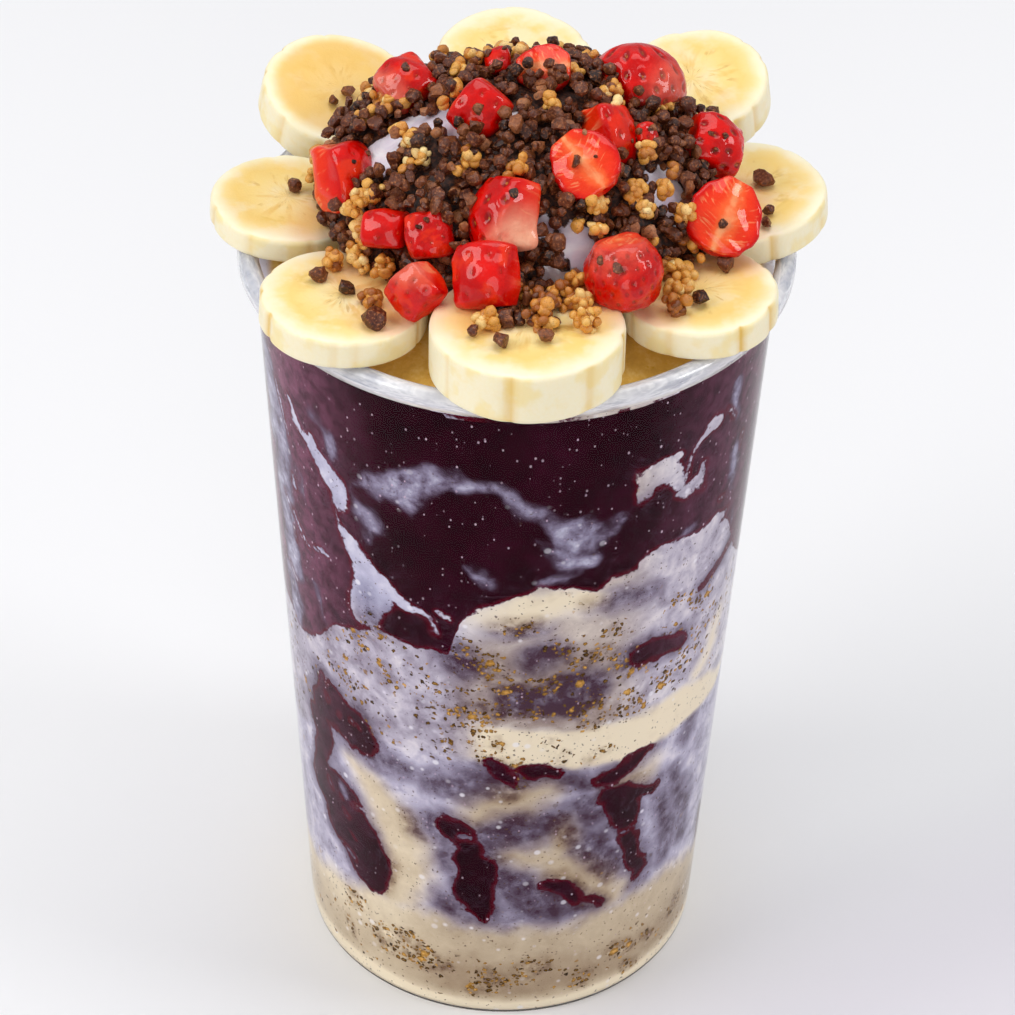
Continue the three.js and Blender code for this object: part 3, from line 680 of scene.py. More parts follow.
def depth_in(strokes, along, height):
    """How deep each point lies inside any of the strokes: negative outside, in millimetres."""
    deepest = np.full(along.shape, -50.0)
    for stroke in strokes:
        line = [(angle * AROUND, level, half) for angle, level, half in stroke]
        for (x0, z0, r0), (x1, z1, r1) in zip(line, line[1:] or line):
            dx, dz = x1 - x0, z1 - z0
            length = dx * dx + dz * dz + 1e-9
            t = np.clip(((along - x0) * dx + (height - z0) * dz) / length, 0, 1)
            gap = np.hypot(along - x0 - t * dx, height - z0 - t * dz)
            deepest = np.maximum(deepest, r0 + (r1 - r0) * t - gap)
    return deepest


def edge_at(line, angle):
    """Height of a line of (degrees, height) at these angles."""
    return np.interp(angle, *zip(*line))


def swirl_fields(points):
    """What the filling's material reads at each point: how creamy, veiled, shaded, warm, grainy,
    and its painted shade and tone.
    """
    x, y, z = points.T
    angle = np.degrees(np.arctan2(x, -y))
    behind = eased(88, 140, np.abs(angle))
    own = np.where(np.abs(angle) > 90, angle - np.sign(angle) * 180, angle)
    along = angle * AROUND
    height = z - 6 * behind
    ragged = rough(along, height, (1, 7, 1), (0.7, 3, 2), (0.35, 1.5, 12))
    wavy = rough(along, height, (1, 6, 3), (0.7, 2.7, 4), (0.35, 1.4, 14))
    s = own * AROUND + 0.9 * ragged + 9 * behind * drift(along, height, 19, 21)
    h = height + 0.9 * wavy + 6 * behind * drift(along, height, 17, 22)
    depth = {name: depth_in(strokes, s, h) for name, strokes in SWIRLS.items()}
    top = edge_at(BAND_TOP, angle + 0.6 * ragged) + 0.7 * wavy
    bottom = edge_at(BAND_BOTTOM, angle) + 0.8 * wavy
    base = edge_at(BASE_TOP, angle) + 1.0 * wavy
    cream = np.maximum(depth["cream"], top - z)
    cream = np.maximum(np.minimum(cream, -depth["plum"]), depth["drops"])
    lip = np.where(z > FILL_LEVEL - 0.9, 1.2 * drift(along, height, 3, 6) + 0.1, -9)
    cream = np.maximum(cream, lip)
    # Zones: the band, the bright crescent along its lower edge, the base and the front's middle.
    in_band = eased(-1.5, 1.5, z - bottom)
    thick = 12.0 * eased(98, 48, np.abs(angle)) - 0.5
    crescent = eased(-1.2, 0.6, z - bottom) * eased(-14, -4, angle) * eased(100, 92, np.abs(angle))
    crescent *= eased(0, -3.0, z - bottom - thick)
    in_base = eased(-3.0, 3.0, base - z)
    middle = eased(-18, -2, angle) * eased(42, 24, angle)
    shade = np.maximum(eased(-3.4, 2.0, depth["shade"]), 0.8 * eased(-4.2, 0.4, depth["plum"]))
    shade = shade * (1 - crescent) * (1 - in_base)
    sunny = np.maximum(crescent, eased(-3, 2, depth["warm"]) * eased(60, 75, z))
    warm = np.maximum.reduce([eased(-4, 3, depth["warm"]), crescent, in_base,
                              in_band * (0.12 + 0.5 * middle) * (1 - 0.9 * shade)])
    low_band = in_band * eased(102, 92, z) * (1 - crescent)
    grains = np.maximum(0.92 * eased(-1.8, 0.4, depth["clots"]), 0.15 * low_band)
    grains = np.maximum(grains, 0.1 * in_base * eased(18, 14, z) * eased(3, 5, z))
    veil = eased(-1.8, 2.4, depth["veil"] + 1.6 * drift(along, height, 4.5, 31))
    # How much darker (or, below 0, brighter) the cream is. Low in the base this is painted shade,
    # where less light reaches the bottom of the cup; on the filling's top it is painted light;
    # elsewhere it is the cream's own tone.
    dim = in_base * (0.07 + 0.11 * eased(19, 9, z)) * eased(3.4, 6.5, z)
    dim = dim - 0.2 * in_base * eased(4.5, 2.5, z)
    dim = dim + low_band * (0.05 + 0.14 * middle) - 0.14 * sunny * (1 - in_base)
    dim = dim + 0.1 * eased(4, -2, z - bottom) * (1 - in_base) * middle
    dim = dim + in_base * (0.03 - 0.15 * eased(-10, -40, angle) - 0.03 * eased(20, 40, angle))
    dim = dim - 0.1 * low_band * eased(14, 30, angle)
    # The top of the filling inside the wall is plain cream, with painted light that lifts the shade
    # under the slices.
    inner = (z > FILL_LEVEL - 0.02) & (np.hypot(x, y) < wall_radius(FILL_LEVEL) - WALL - 0.1)
    cream, warm = np.where(inner, 3, cream), np.where(inner, 0.3, warm)
    dim, shade, grains = np.where(inner, -0.5, dim), shade * ~inner, grains * ~inner
    return {"cream": cream, "veil": veil, "shade": shade, "warm": warm, "grains": grains,
            "dim": dim}


def filling_look():
    look, c = Look("acai_and_cream"), colours()
    place = look.place()
    x, y, z = look.parts(place)
    cream, veil, shade, warm, grains, dim = [
        look.attribute(name) for name in ("cream", "veil", "shade", "warm", "grains", "dim")]
    fine, soft = look.noise(place, 1.1, 4, 0.6), look.noise(place, 0.2, 4, 0.6, 0.4)
    broad, cloud = look.noise(place, 0.07, 3, 0.5), look.noise(place, 0.34, 5, 0.62)
    gritty, swelling, cloudy = fine - 0.5, soft - 0.5, cloud - 0.5  # to either side of 0
    milk = look.step(cream + gritty * 1.6 + cloudy * 1.4, -0.15, 0.5)
    thin = 1 - milk

    # How bright the cream is, then its colours from dark to bright, cold and warm.
    body = 0.82 + swelling * 1.1 * (1 - warm * 0.8) + cloudy * 0.5 * (1 - warm * 0.7)
    # Darker by the painted shade and tone, and in the slate shade strokes.
    body = body - dim - shade * (0.38 + cloudy * 1.5 + swelling * 1.3)
    # Darker around the granola: painted shade between the crumbs.
    body = (body - grains * (0.12 + cloudy * 1.2)).math("MAXIMUM", 0.24)
    whole = (milk * body).math("MINIMUM", 1.0)
    cold = look.ramp(whole, [
        (0.0, hue(44, 4, 24)), (0.2, hue(62, 32, 48)), (0.4, hue(98, 84, 101)),
        (0.6, hue(142, 133, 152)), (0.8, hue(181, 174, 193)), (1.0, c.cold_cream)])
    mild = look.ramp(whole, [
        (0.0, hue(56, 14, 28)), (0.2, hue(78, 46, 46)), (0.4, hue(122, 98, 80)),
        (0.6, hue(168, 146, 120)), (0.8, hue(208, 190, 162)), (0.95, c.warm_cream)])
    cool = look.step(z, 94.0, 104.0) * look.step(x, 4.0, -14.0)
    milky = look.coats(cold, (warm * milk, mild), (cool * milk * 0.35, hue(190, 194, 226)))

    # The acai, with a painted reflection haze towards the cup's sides on its front half, a veil of
    # milk, wisps and pale glints.
    sideways = (x / (x * x + y * y) ** 0.5).math("ABSOLUTE")
    painted_side_haze = look.step(sideways, 0.5, 0.95) * (0.2 + look.step(cloud, 0.3, 0.7) * 0.5)
    painted_side_haze = painted_side_haze * look.step(y, 12.0, -18.0) * (1.0 - look.step(x, -6.0, 12.0) * 0.45)
    acai = look.mix(
        painted_side_haze * (0.3 + look.step(z, 64.0, 96.0) * 0.7),
        look.ramp(broad * 0.5 + cloud * 0.35 + fine * 0.15, [
            (0.34, hue(22, 0, 6)), (0.5, c.acai), (0.68, hue(54, 6, 28))]),
        hue(156, 94, 122))
    film = veil * (0.62 + cloudy * 1.0 + gritty * 0.15 + swelling * 1.1)
    filmy = look.ramp(film, [(0.1, hue(62, 34, 54)), (0.4, hue(102, 88, 108)),
                             (0.62, hue(142, 134, 156)), (0.85, hue(188, 184, 202))])
    wisp = (look.noise(place, 0.16, 4, 0.6, 1.5) - 0.5).math("ABSOLUTE")
    wisp = look.step(wisp, 0.02, 0.003) * look.step(cream, -9, -1) * thin
    # Small pale dots in the acai: partly ice crystals, partly painted glints.
    glint, ice_and_glint = look.dots(look.join(x, y, z * 0.7), 0.9, 0.13, 0.11, 0.03)
    glint = glint * (1 - whole) * look.step(ice_and_glint[0] + painted_side_haze * 0.4, 0.5, 0.6)

    # Dark specks and small air bubbles in the cream.
    stray = look.node("ShaderNodeTexNoise", None, {"Vector": place, "Scale": 0.9}, "Color")
    loose = look.shifted(place, look.scaled(stray, 1.3))
    speck, dark = look.dots(loose, 1.25, 0.2, 0.13, 0.03)
    speck = speck * look.step(dark[0] - grains * 0.2 - shade * 0.3, 0.52, 0.48)
    speck = speck * (milk + veil * 0.8).math("MINIMUM", 1.0)
    bubble, air = look.dots(place, 0.42, 0.16, 0.2, 0.02)
    bubble = bubble * (1 - grains) * look.step(air[0], 0.68, 0.74)
    bubble = bubble * (milk + veil).math("MINIMUM", 1.0)

    # Granola crumbs, small and large, with painted shading: each lighter in its middle, darker at
    # its edge.
    near, chance = look.cells(loose, 0.98)
    rim = near + gritty * 0.45
    small = look.step(rim - chance[1] * 0.24, 0.34, 0.24)
    small = small * look.step(chance[0] - grains, 0.02, -0.02) * milk
    toast = look.ramp(chance[2] * 0.62 + (0.42 - rim), [
        (0.0, hue(46, 30, 18)), (0.2, hue(76, 52, 24)), (0.42, hue(112, 80, 34)),
        (0.64, hue(160, 116, 50)), (0.85, hue(206, 156, 78)), (1.0, hue(228, 186, 114))])
    near, chance = look.cells(loose, 0.36)
    edge = near + cloudy * 0.9 + gritty * 0.5
    large = look.step(edge, 0.3, 0.25) * look.step(chance[0] - grains * 0.42, 0.02, -0.02)
    crust = look.ramp(fine * 0.7 + (0.5 - edge) * 0.6, [
        (0.36, hue(74, 50, 24)), (0.48, hue(138, 98, 42)), (0.6, hue(196, 146, 70)),
        (0.7, hue(226, 180, 104))])

    # Painted yellow light from the bananas on the ledge under the slices.
    painted_banana_light = look.ramp(cloud * 0.7 + fine * 0.3, [
        (0.3, hue(206, 150, 26)), (0.5, hue(228, 178, 48)), (0.7, hue(244, 208, 112))])
    wall = wall_radius(FILL_LEVEL) - WALL
    painted_light_ring = look.step(z, FILL_LEVEL - 0.2, FILL_LEVEL - 0.05)
    painted_light_ring = painted_light_ring * look.step((x * x + y * y) ** 0.5, wall - 0.9, wall - 2.8)

    shown = look.coats(
        acai,
        (look.step(whole, 0.04, 0.24), milky),
        (look.step(film, 0.08, 0.5) * thin, filmy),
        (look.step(cream, -1.0, -0.1) * thin * 0.5, hue(104, 6, 28)),
        (wisp * 0.08, hue(150, 122, 150)),
        (look.step(fine, 0.33, 0.25) * (1 - whole) * 0.7, hue(14, 0, 5)),
        (glint * (0.2 + ice_and_glint[2] * 0.65), hue(214, 184, 202)),
        (speck * 0.75, look.ramp(dark[2], [(0.3, hue(62, 34, 42)), (0.6, hue(88, 62, 34))])),
        (bubble * (0.2 + air[2] * 0.5), hue(242, 238, 242)),
        (small, toast),
        (large * milk, crust),
        (painted_light_ring * 0.9, painted_banana_light))
    return look.done(look.surface(
        Base_Color=shown, Roughness=0.5 + fine * 0.1, Specular_IOR_Level=0.02,
        Sheen_Weight=0.1, Sheen_Roughness=0.3, Sheen_Tint=hue(226, 214, 232)))


def layer_profile(low, high):
    """Outline of a layer between two flat heights: across the bottom, up the wall and back."""
    across = [0, 8, 16, 24, 30.2, 31.5, 32.5, 34]
    rows = max(2, round((high - low) / 0.8))
    side = list(np.linspace(low, high, rows + 1))
    reach = [wall_radius(z) - WALL + SOAK for z in side]
    under = [(r, low) for r in across + [35.4, 36.1]]
    over = [(r, high) for r in [reach[-1] - 0.6] + across[::-1]]
    return under + list(zip(reach, side)) + over


def foot_of_filling(points):
    """Rounds the lowest corner and lets it fill the ring of the foot."""
    x, y, z = points.T
    radius = np.hypot(x, y)
    low = np.interp(radius, [0, 30.2, 31.5, 32.5, 35.4, 36.1, 36.6],
                    [FILL_FLOOR, FILL_FLOOR, 1.2, 0.65, 0.65, 1.0, 2.0])
    points[:, 2] = np.where(z < FILL_FLOOR + 0.01, low, z)
    return points


class ACAI_OT_filling(bpy.types.Operator):
    """Fills the cup with four layers of cream and acai that swirl into each other"""

    bl_idname = "acai.filling"
    bl_label = "Filling"

    def execute(self, context):
        material = filling_look()
        for index, (node, slot, low, high) in enumerate(LAYERS):
            layer = turned(node + "_fill", layer_profile(low, high), LAYER_STEPS)
            points = points_of(layer)
            x, y, z = points.T
            share = (z - low) / (high - low)
            tops = (*layer_tops(x, y), crown(x, y))
            bottom = low if index == 0 else tops[index - 1] - OVERLAP
            points[:, 2] = bottom + (tops[index] - bottom) * share
            radius = np.hypot(x, y)
            reach = wall_radius(points[:, 2]) - WALL + SOAK
            on_wall = radius > wall_radius(low + share * (high - low)) - WALL + SOAK - 0.02
            points[:, :2] *= np.where(on_wall, reach / np.maximum(radius, 1e-6), 1)[:, None]
            if index == 0:
                points = foot_of_filling(points)
            move_points(layer, points)
            for name, values in swirl_fields(points).items():
                store(layer, name, values)
            smooth(layer, 60)
            finish_piece(layer, material, slot, node)
        return {"FINISHED"}


# ---- Banana slices -----------------------------------------------------------------------------
def slice_matrix(middle, thickness, dip):
    """Lays a slice on the rim, dipping towards the cup's axis."""
    x, y = middle
    distance = math.hypot(x, y)
    tilt = Vector((y / distance, -x / distance, 0))
    angle = math.radians(dip)
    height = CUP_HEIGHT + GAP + thickness / 2 / math.cos(angle)
    height -= (RIM_REST - distance) * math.tan(angle)
    return Matrix.Translation((x, y, height)) @ Matrix.Rotation(angle, 4, tilt)


def slice_profile(radius, half):
    """Outline of a round slice with rounded corners: its lower face, its side, its upper face."""
    flat, level = radius - SLICE_CORNER, half - SLICE_CORNER
    face = [0, 0.6, 1.3, 2.1, 3.0, 4.0, 5.0, 6.2, 7.5, 8.9, 10.4, 11.9]
    face = [r for r in face if r < flat - 0.6] + [flat]
    corner = [(flat + SLICE_CORNER * math.sin(a), level + SLICE_CORNER * math.cos(a))
              for a in np.linspace(0.25, math.pi / 2, 5)]
    under = [(r, -half) for r in face] + [(r, -z) for r, z in corner]
    side = [(radius, z) for z in np.linspace(-level, level, 8)[1:-1]]
    over = [(r, z) for r, z in corner[::-1]] + [(r, half) for r in face[::-1]]
    return under + side + over


def slice_outline(angle):
    """A slice's own radius at an angle, as a share."""
    return 0.987 + 0.006 * np.cos(5 * angle) + 0.006 * np.sin(3 * angle + 1)


def creases(angle, seed):
    """Narrow upright folds around a slice: 0 between them, 1 in the deepest."""
    rng = np.random.default_rng(seed)
    depth = np.zeros(angle.shape)
    for at in np.cumsum(rng.uniform(0.25, 1.1, 10)):
        gap = np.abs((angle - at + math.pi) % (2 * math.pi) - math.pi)
        width = rng.uniform(0.025, 0.07)
        depth = np.maximum(depth, rng.uniform(0.2, 1.0) * np.exp(-((gap / width) ** 1.5)))
    return depth


def banana_look():
    look, c = Look("banana"), colours()
    place, own = look.place(), look.attribute("slice", "Vector")
    pale = look.attribute("pale")
    x, y, side = look.parts(own)
    radius = (x * x + y * y) ** 0.5
    away = radius.math("MAXIMUM", 0.02)
    ray = look.join(x / away * 1.5, y / away * 1.5, radius * 1.3 + pale * 7)
    rays, stripes = look.noise(ray, 3.2, 4, 0.6), look.noise(ray, 1.5, 3, 0.5)
    cloud, fine = look.noise(place, 0.16, 3), look.noise(place, 1.6, 4, 0.6)

    # The heart of the slice is lobed; rays, dashes and dark marks run out from it.
    reach = 0.12 + look.noise(look.join(x / away, y / away, pale * 9), 1.4, 1, 0.4) * 0.42
    heart = look.step(radius, reach, reach * 0.35)
    ochre = look.step(stripes, 0.5, 0.68) * look.step(radius, 0.7, 0.35)
    dash = look.step(look.noise(ray, 2.3, 3, 0.5), 0.6, 0.7) * look.step(radius, 0.16, 0.28)
    marks = look.step(look.noise(ray, 6.5, 2, 0.5), 0.64, 0.72) * heart
    blotch = look.step(look.noise(own, 2.6, 3, 0.55, 0.8), 0.57, 0.7)
    flesh = look.ramp(radius + (stripes - 0.5) * 0.26 + (cloud - 0.5) * 0.3, [
        (0.02, hue(250, 222, 146)), (0.22, hue(252, 233, 172)), (0.42, c.banana),
        (0.62, hue(250, 218, 132)), (0.76, hue(252, 228, 158)), (0.88, hue(252, 238, 196)),
        (1.0, hue(253, 244, 214))])
    face = look.coats(
        flesh,
        (look.step(cloud, 0.48, 0.68) * 0.6, hue(254, 244, 210)),
        (ochre * look.step(radius, 0.1, 0.25) * 0.6, hue(232, 184, 84)),
        (look.step(rays, 0.5, 0.62) * heart * 0.28, c.banana_heart),
        (dash * look.step(radius, 0.66, 0.46) * 0.6, hue(196, 150, 54)),
        (marks * look.step(radius, 0.04, 0.12) * 0.85, hue(92, 58, 24)),
        (blotch * look.step(radius, 0.8, 0.5) * 0.5, hue(226, 190, 74)),
        (look.attribute("ripeness") * look.step(radius, 0.95, 0.75), hue(234, 184, 88)),
        (look.attribute("juice") * (0.1 + cloud * 0.6), hue(246, 176, 120)))
    wall = look.coats(
        hue(253, 242, 208),
        (look.step(fine, 0.35, 0.75) * 0.2, hue(250, 230, 166)),
        (look.step(cloud, 0.46, 0.62) * 0.6, hue(250, 226, 150)),
        (look.attribute("crease") * 0.9, hue(230, 182, 40)))
    height = fine * 0.35 + rays * heart * 0.4 + cloud * 0.5
    return look.done(look.surface(
        Base_Color=look.mix(look.step(side.math("ABSOLUTE"), 0.9, 0.985), wall, face),
        Roughness=0.34 + fine * 0.18, Normal=look.bump(height, 0.35, 0.45),
        Subsurface_Weight=0.12, Subsurface_Radius=(0.004, 0.003, 0.0015), Subsurface_Scale=0.6,
        Specular_IOR_Level=0.45))


class ACAI_OT_bananas(bpy.types.Operator):
    """Lays the ring of banana slices on the rim"""

    bl_idname = "acai.bananas"
    bl_label = "Banana slices"

    def execute(self, context):
        material = banana_look()
        berries = np.array([at[:2] for _, _, at, _, _ in BERRIES])
        for seed, (node, (middle, radius, thickness, dip)) in enumerate(SLICES.items()):
            half = thickness / 2
            piece = turned(node + "_slice", slice_profile(radius, half), SLICE_STEPS)
            points = points_of(piece)
            x, y, z = points.T
            angle, reach = np.arctan2(y, x), np.hypot(x, y)
            crease = creases(angle, seed)
            edge = eased(0.75, 1.0, reach / radius)
            share = slice_outline(angle + radius) - sizes().flute / MM / radius * crease * edge
            turn = seed * 1.9 + 0.4
            own = np.column_stack([x * math.cos(turn) - y * math.sin(turn),
                                   x * math.sin(turn) + y * math.cos(turn)]) / radius
            store(piece, "slice", np.column_stack([own, z / half]))
            store(piece, "crease", crease * eased(0.9, 1.0, reach / radius))
            store(piece, "ripeness", np.full(len(points), RIPENESS.get(node, 0.1)))
            store(piece, "pale", np.full(len(points), (seed * 0.37) % 1))
            lift = 0.12 * drift(x + 90 * seed, y, 4.5, 5) - 0.3 * (reach / radius) ** 4
            points[:, 0], points[:, 1] = x * share, y * share
            points[:, 2] = z + np.where(z > half - SLICE_CORNER - 0.05, lift - 0.1, 0)
            move_points(piece, points)
            placed = slice_matrix(middle, thickness, dip)
            placed.translation *= MM
            piece.data.transform(placed)
            gap = np.linalg.norm(points_of(piece)[:, None, :2] - berries, axis=2)
            store(piece, "juice", eased(13, 7, gap.min(axis=1)))
            smooth(piece, 50)
            finish_piece(piece, material, "banana", node)
        return {"FINISHED"}


# ---- Cream mound -------------------------------------------------------------------------------
def mound_look():
    look = Look("poured_cream")
    place = look.place()
    swirl = look.noise(place, 0.12, 4, 0.6, 1.2)
    cream = look.ramp(swirl, [(0.3, hue(202, 188, 210)), (0.5, hue(228, 220, 234)),
                              (0.68, hue(246, 242, 246))])
    fine, crumb = look.noise(place, 1.6, 4, 0.6), look.noise(place, 0.5, 3, 0.6)
    # Under the toppings the cream is dark brown: chocolate dust with painted shade between the
    # bits.
    dusted = look.step(look.attribute("dusted") + (crumb - 0.5) * 0.9, 0.42, 0.56)
    dust_and_shade_colour = look.ramp(fine, [
        (0.36, hue(26, 8, 5)), (0.5, hue(58, 26, 16)), (0.62, hue(104, 58, 34))])
    cream = look.mix(dusted, cream, dust_and_shade_colour)
    return look.done(look.surface(
        Base_Color=cream, Roughness=0.14 + dusted * 0.5, Coat_Weight=0.7 - dusted * 0.7,
        Coat_Roughness=0.05, Normal=look.bump(swirl, 0.8, 0.3), Subsurface_Weight=0.15,
        Subsurface_Radius=(0.003, 0.002, 0.002), Subsurface_Scale=0.6))


class ACAI_OT_mound(bpy.types.Operator):
    """Pours the mound of cream that carries the toppings"""

    bl_idname = "acai.mound"
    bl_label = "Cream mound"

    def execute(self, context):
        stem, foot = MOUND_STEM / MOUND_REACH.y, FILL_CROWN - MOUND_SINK
        lowest = math.asin((MOUND_EDGE_HEIGHT - MOUND_CENTRE.z) / MOUND_REACH.z)
        profile = [(0, foot), (stem, foot), (stem, 158), (stem, MOUND_EDGE_HEIGHT - 0.6)]
        profile += [(share, MOUND_EDGE_HEIGHT) for share in (stem + 0.06, 0.9, 0.96)]
        profile += [(math.cos(up), MOUND_CENTRE.z + MOUND_REACH.z * math.sin(up))
                    for up in np.linspace(lowest + 0.02, math.pi / 2, 30)[:-1]]
        profile.append((0, MOUND_CENTRE.z + MOUND_REACH.z))
        mound = turned("cream_dome", profile, MOUND_STEPS)
        points = points_of(mound)
        x, y, z = points.T
        uneven = 1 + 0.02 * np.sin(5 * x + 3) * np.cos(4 * y)
        on_dome = eased(MOUND_EDGE_HEIGHT - 1, MOUND_EDGE_HEIGHT, z)
        sag = 0.5 * drift(x * 35, y * 35, 9, 7) * on_dome
        points[:, 0] = x * MOUND_REACH.x * uneven + MOUND_CENTRE.x * on_dome
        points[:, 1] = y * MOUND_REACH.y * uneven + MOUND_CENTRE.y * on_dome
        points[:, 2] = z + np.where(z > MOUND_EDGE_HEIGHT + 0.1, sag - 0.5, 0)
        move_points(mound, points)
        # Away from the bare patches the cream gets chocolate dust and painted shade.
        bare = np.full(len(points), 50.0)
        for x, y, reach in BARE_CREAM:
            bare = np.minimum(bare, np.hypot(points[:, 0] - x, points[:, 1] - y) - reach)
        store(mound, "dusted", eased(-1.5, 1.5, bare))
        smooth(mound, 60)
        finish_piece(mound, mound_look(), "mound_cream", "cream_mound")
        return {"FINISHED"}


# ---- Strawberries ------------------------------------------------------------------------------
SEED_SPACING = 1.25  # distance between seeds in a row, as a share of the pitch between rows
SEED_PIT = (0.6, 0.85)  # depth and reach of the dimple round a seed
PIT_RIM = (0.12, 1.45, 0.4)  # height, distance and width of the swelling round a dimple
ROUNDED = 0.26  # how far a cut piece's corners are worn towards a ball

# How clearly each piece shows its seeds.
SEEDED = (0.12, 0.3, 0.3, 1, 1, 0.4, 1, 1, 0.6, 1, 1, 0.55, 0.3, 0.15, 0.3, 0.2, 0.5)
# Pieces with painted glare on one side: the direction of that side and how strong the glare is.
PAINTED_GLARE_SIDES = {2: ((-0.6, -0.6, 0.1), 0.45), 4: ((0.42, -0.8, -0.1), 1.3),
              7: ((0.8, -0.5, 0.1), 0.3), 12: ((-0.3, -0.1, 0.9), 0.2),
              13: ((-0.2, -0.2, 0.95), 0.4)}


def berry_radius(share):
    """Radius of a whole berry at a share of its length from the tip."""
    return BERRY_RADIUS * np.sin(math.pi * np.clip(share, 1e-4, 0.9999) ** 0.72) ** 0.62


def whole_berry():
    """A berry with its tip at the origin, from which all pieces are cut."""
    shares = np.concatenate([[0], np.linspace(0.004, 0.05, 6), np.linspace(0.08, 0.95, 40),
                             [0.975, 0.99, 1]])
    profile = [(float(berry_radius(s)) if 0 < s < 1 else 0.0, BERRY_LENGTH * s) for s in shares]
    return turned("whole_berry", profile, BERRY_STEPS)


def cut_berry(berry, name, cut, size):
    """Cuts a piece from a copy of the whole berry and evens out its faces."""
    piece = added(name, berry.data.copy())
    pick(piece)
    bpy.ops.object.mode_set(mode="EDIT")
    for axis, span in enumerate(CUTS[cut]):
        for side, level in enumerate(span):
            normal, point = Vector(), Vector()
            normal[axis], point[axis] = 1, level * MM
            bpy.ops.mesh.select_all(action="SELECT")
            bpy.ops.mesh.bisect(plane_co=point, plane_no=normal, use_fill=True,
                                clear_inner=side == 0, clear_outer=side == 1)
    bpy.ops.object.mode_set(mode="OBJECT")
    points = points_of(piece)
    middle = (points.min(0) + points.max(0)) / 2
    modifier(piece, "REMESH", mode="VOXEL", voxel_size=sizes().berry_grain / size)
    modifier(piece, "SMOOTH", factor=0.5, iterations=20)
    return piece, middle


def seed_distance(points):
    """Distance of each point to its nearest seed, seeds sitting in staggered rows."""
    x, y, z = points.T
    pitch = sizes().seed_pitch / MM
    nearest = np.full(len(points), 9.0)
    for step in (-1, 0, 1):
        row = np.floor(z / pitch) + step
        round_ = 2 * math.pi * berry_radius((row + 0.5) * pitch / BERRY_LENGTH)
        count = np.maximum(3, np.round(round_ / pitch / SEED_SPACING))
        turn = np.arctan2(y, x) / (2 * math.pi) * count + 0.5 * (row % 2)
        near = np.floor(turn)
        along = (turn - near - 0.5) / count * round_ + 0.6 * drift(near * 3.1, row * 5.3, 1, 8)
        up = z - (row + 0.5) * pitch + 0.6 * drift(near * 2.3, row * 7.7, 1, 9)
        nearest = np.minimum(nearest, np.hypot(along * 1.2, up * 0.9))
    return nearest


def dress_berry(piece, number):
    """Dimples the skin around each seed and keeps what the berry's material needs."""
    points = points_of(piece)
    x, y, z = points.T
    radius = np.hypot(x, y)
    ripe = radius / np.maximum(berry_radius(z / BERRY_LENGTH), 0.5)
    ripe = np.where((z < 1.2) & (radius < 4), 1.0, ripe)
    skin = eased(0.93, 0.975, ripe)
    gap = seed_distance(points)
    seeded = SEEDED[number - 1]
    (deep, broad), (high, away, wide) = SEED_PIT, PIT_RIM
    dent = deep * np.exp(-((gap / broad) ** 2)) - high * np.exp(-(((gap - away) / wide) ** 2))
    dent = dent * min(1, seeded + 0.2)
    wave = 0.55 * drift(x + y * 0.7 + 40 * number, z - y * 0.4, 3.4, 10)
    middle = points.mean(axis=0)
    reach = np.linalg.norm(points - middle, axis=1)
    rounder = 1 + ROUNDED * (reach.mean() / np.maximum(reach, 0.1) - 1)
    points = middle + (points - middle) * rounder[:, None]
    normals = np.empty(len(points) * 3)
    piece.data.vertices.foreach_get("normal", normals)
    move_points(piece, points + normals.reshape(-1, 3) * (wave - dent * skin)[:, None])
    store(piece, "ripe", ripe)
    store(piece, "seed", gap)
    store(piece, "seeded", np.full(len(points), seeded))
    store(piece, "berry", points + np.array([number * 50.0, 0, 0]))


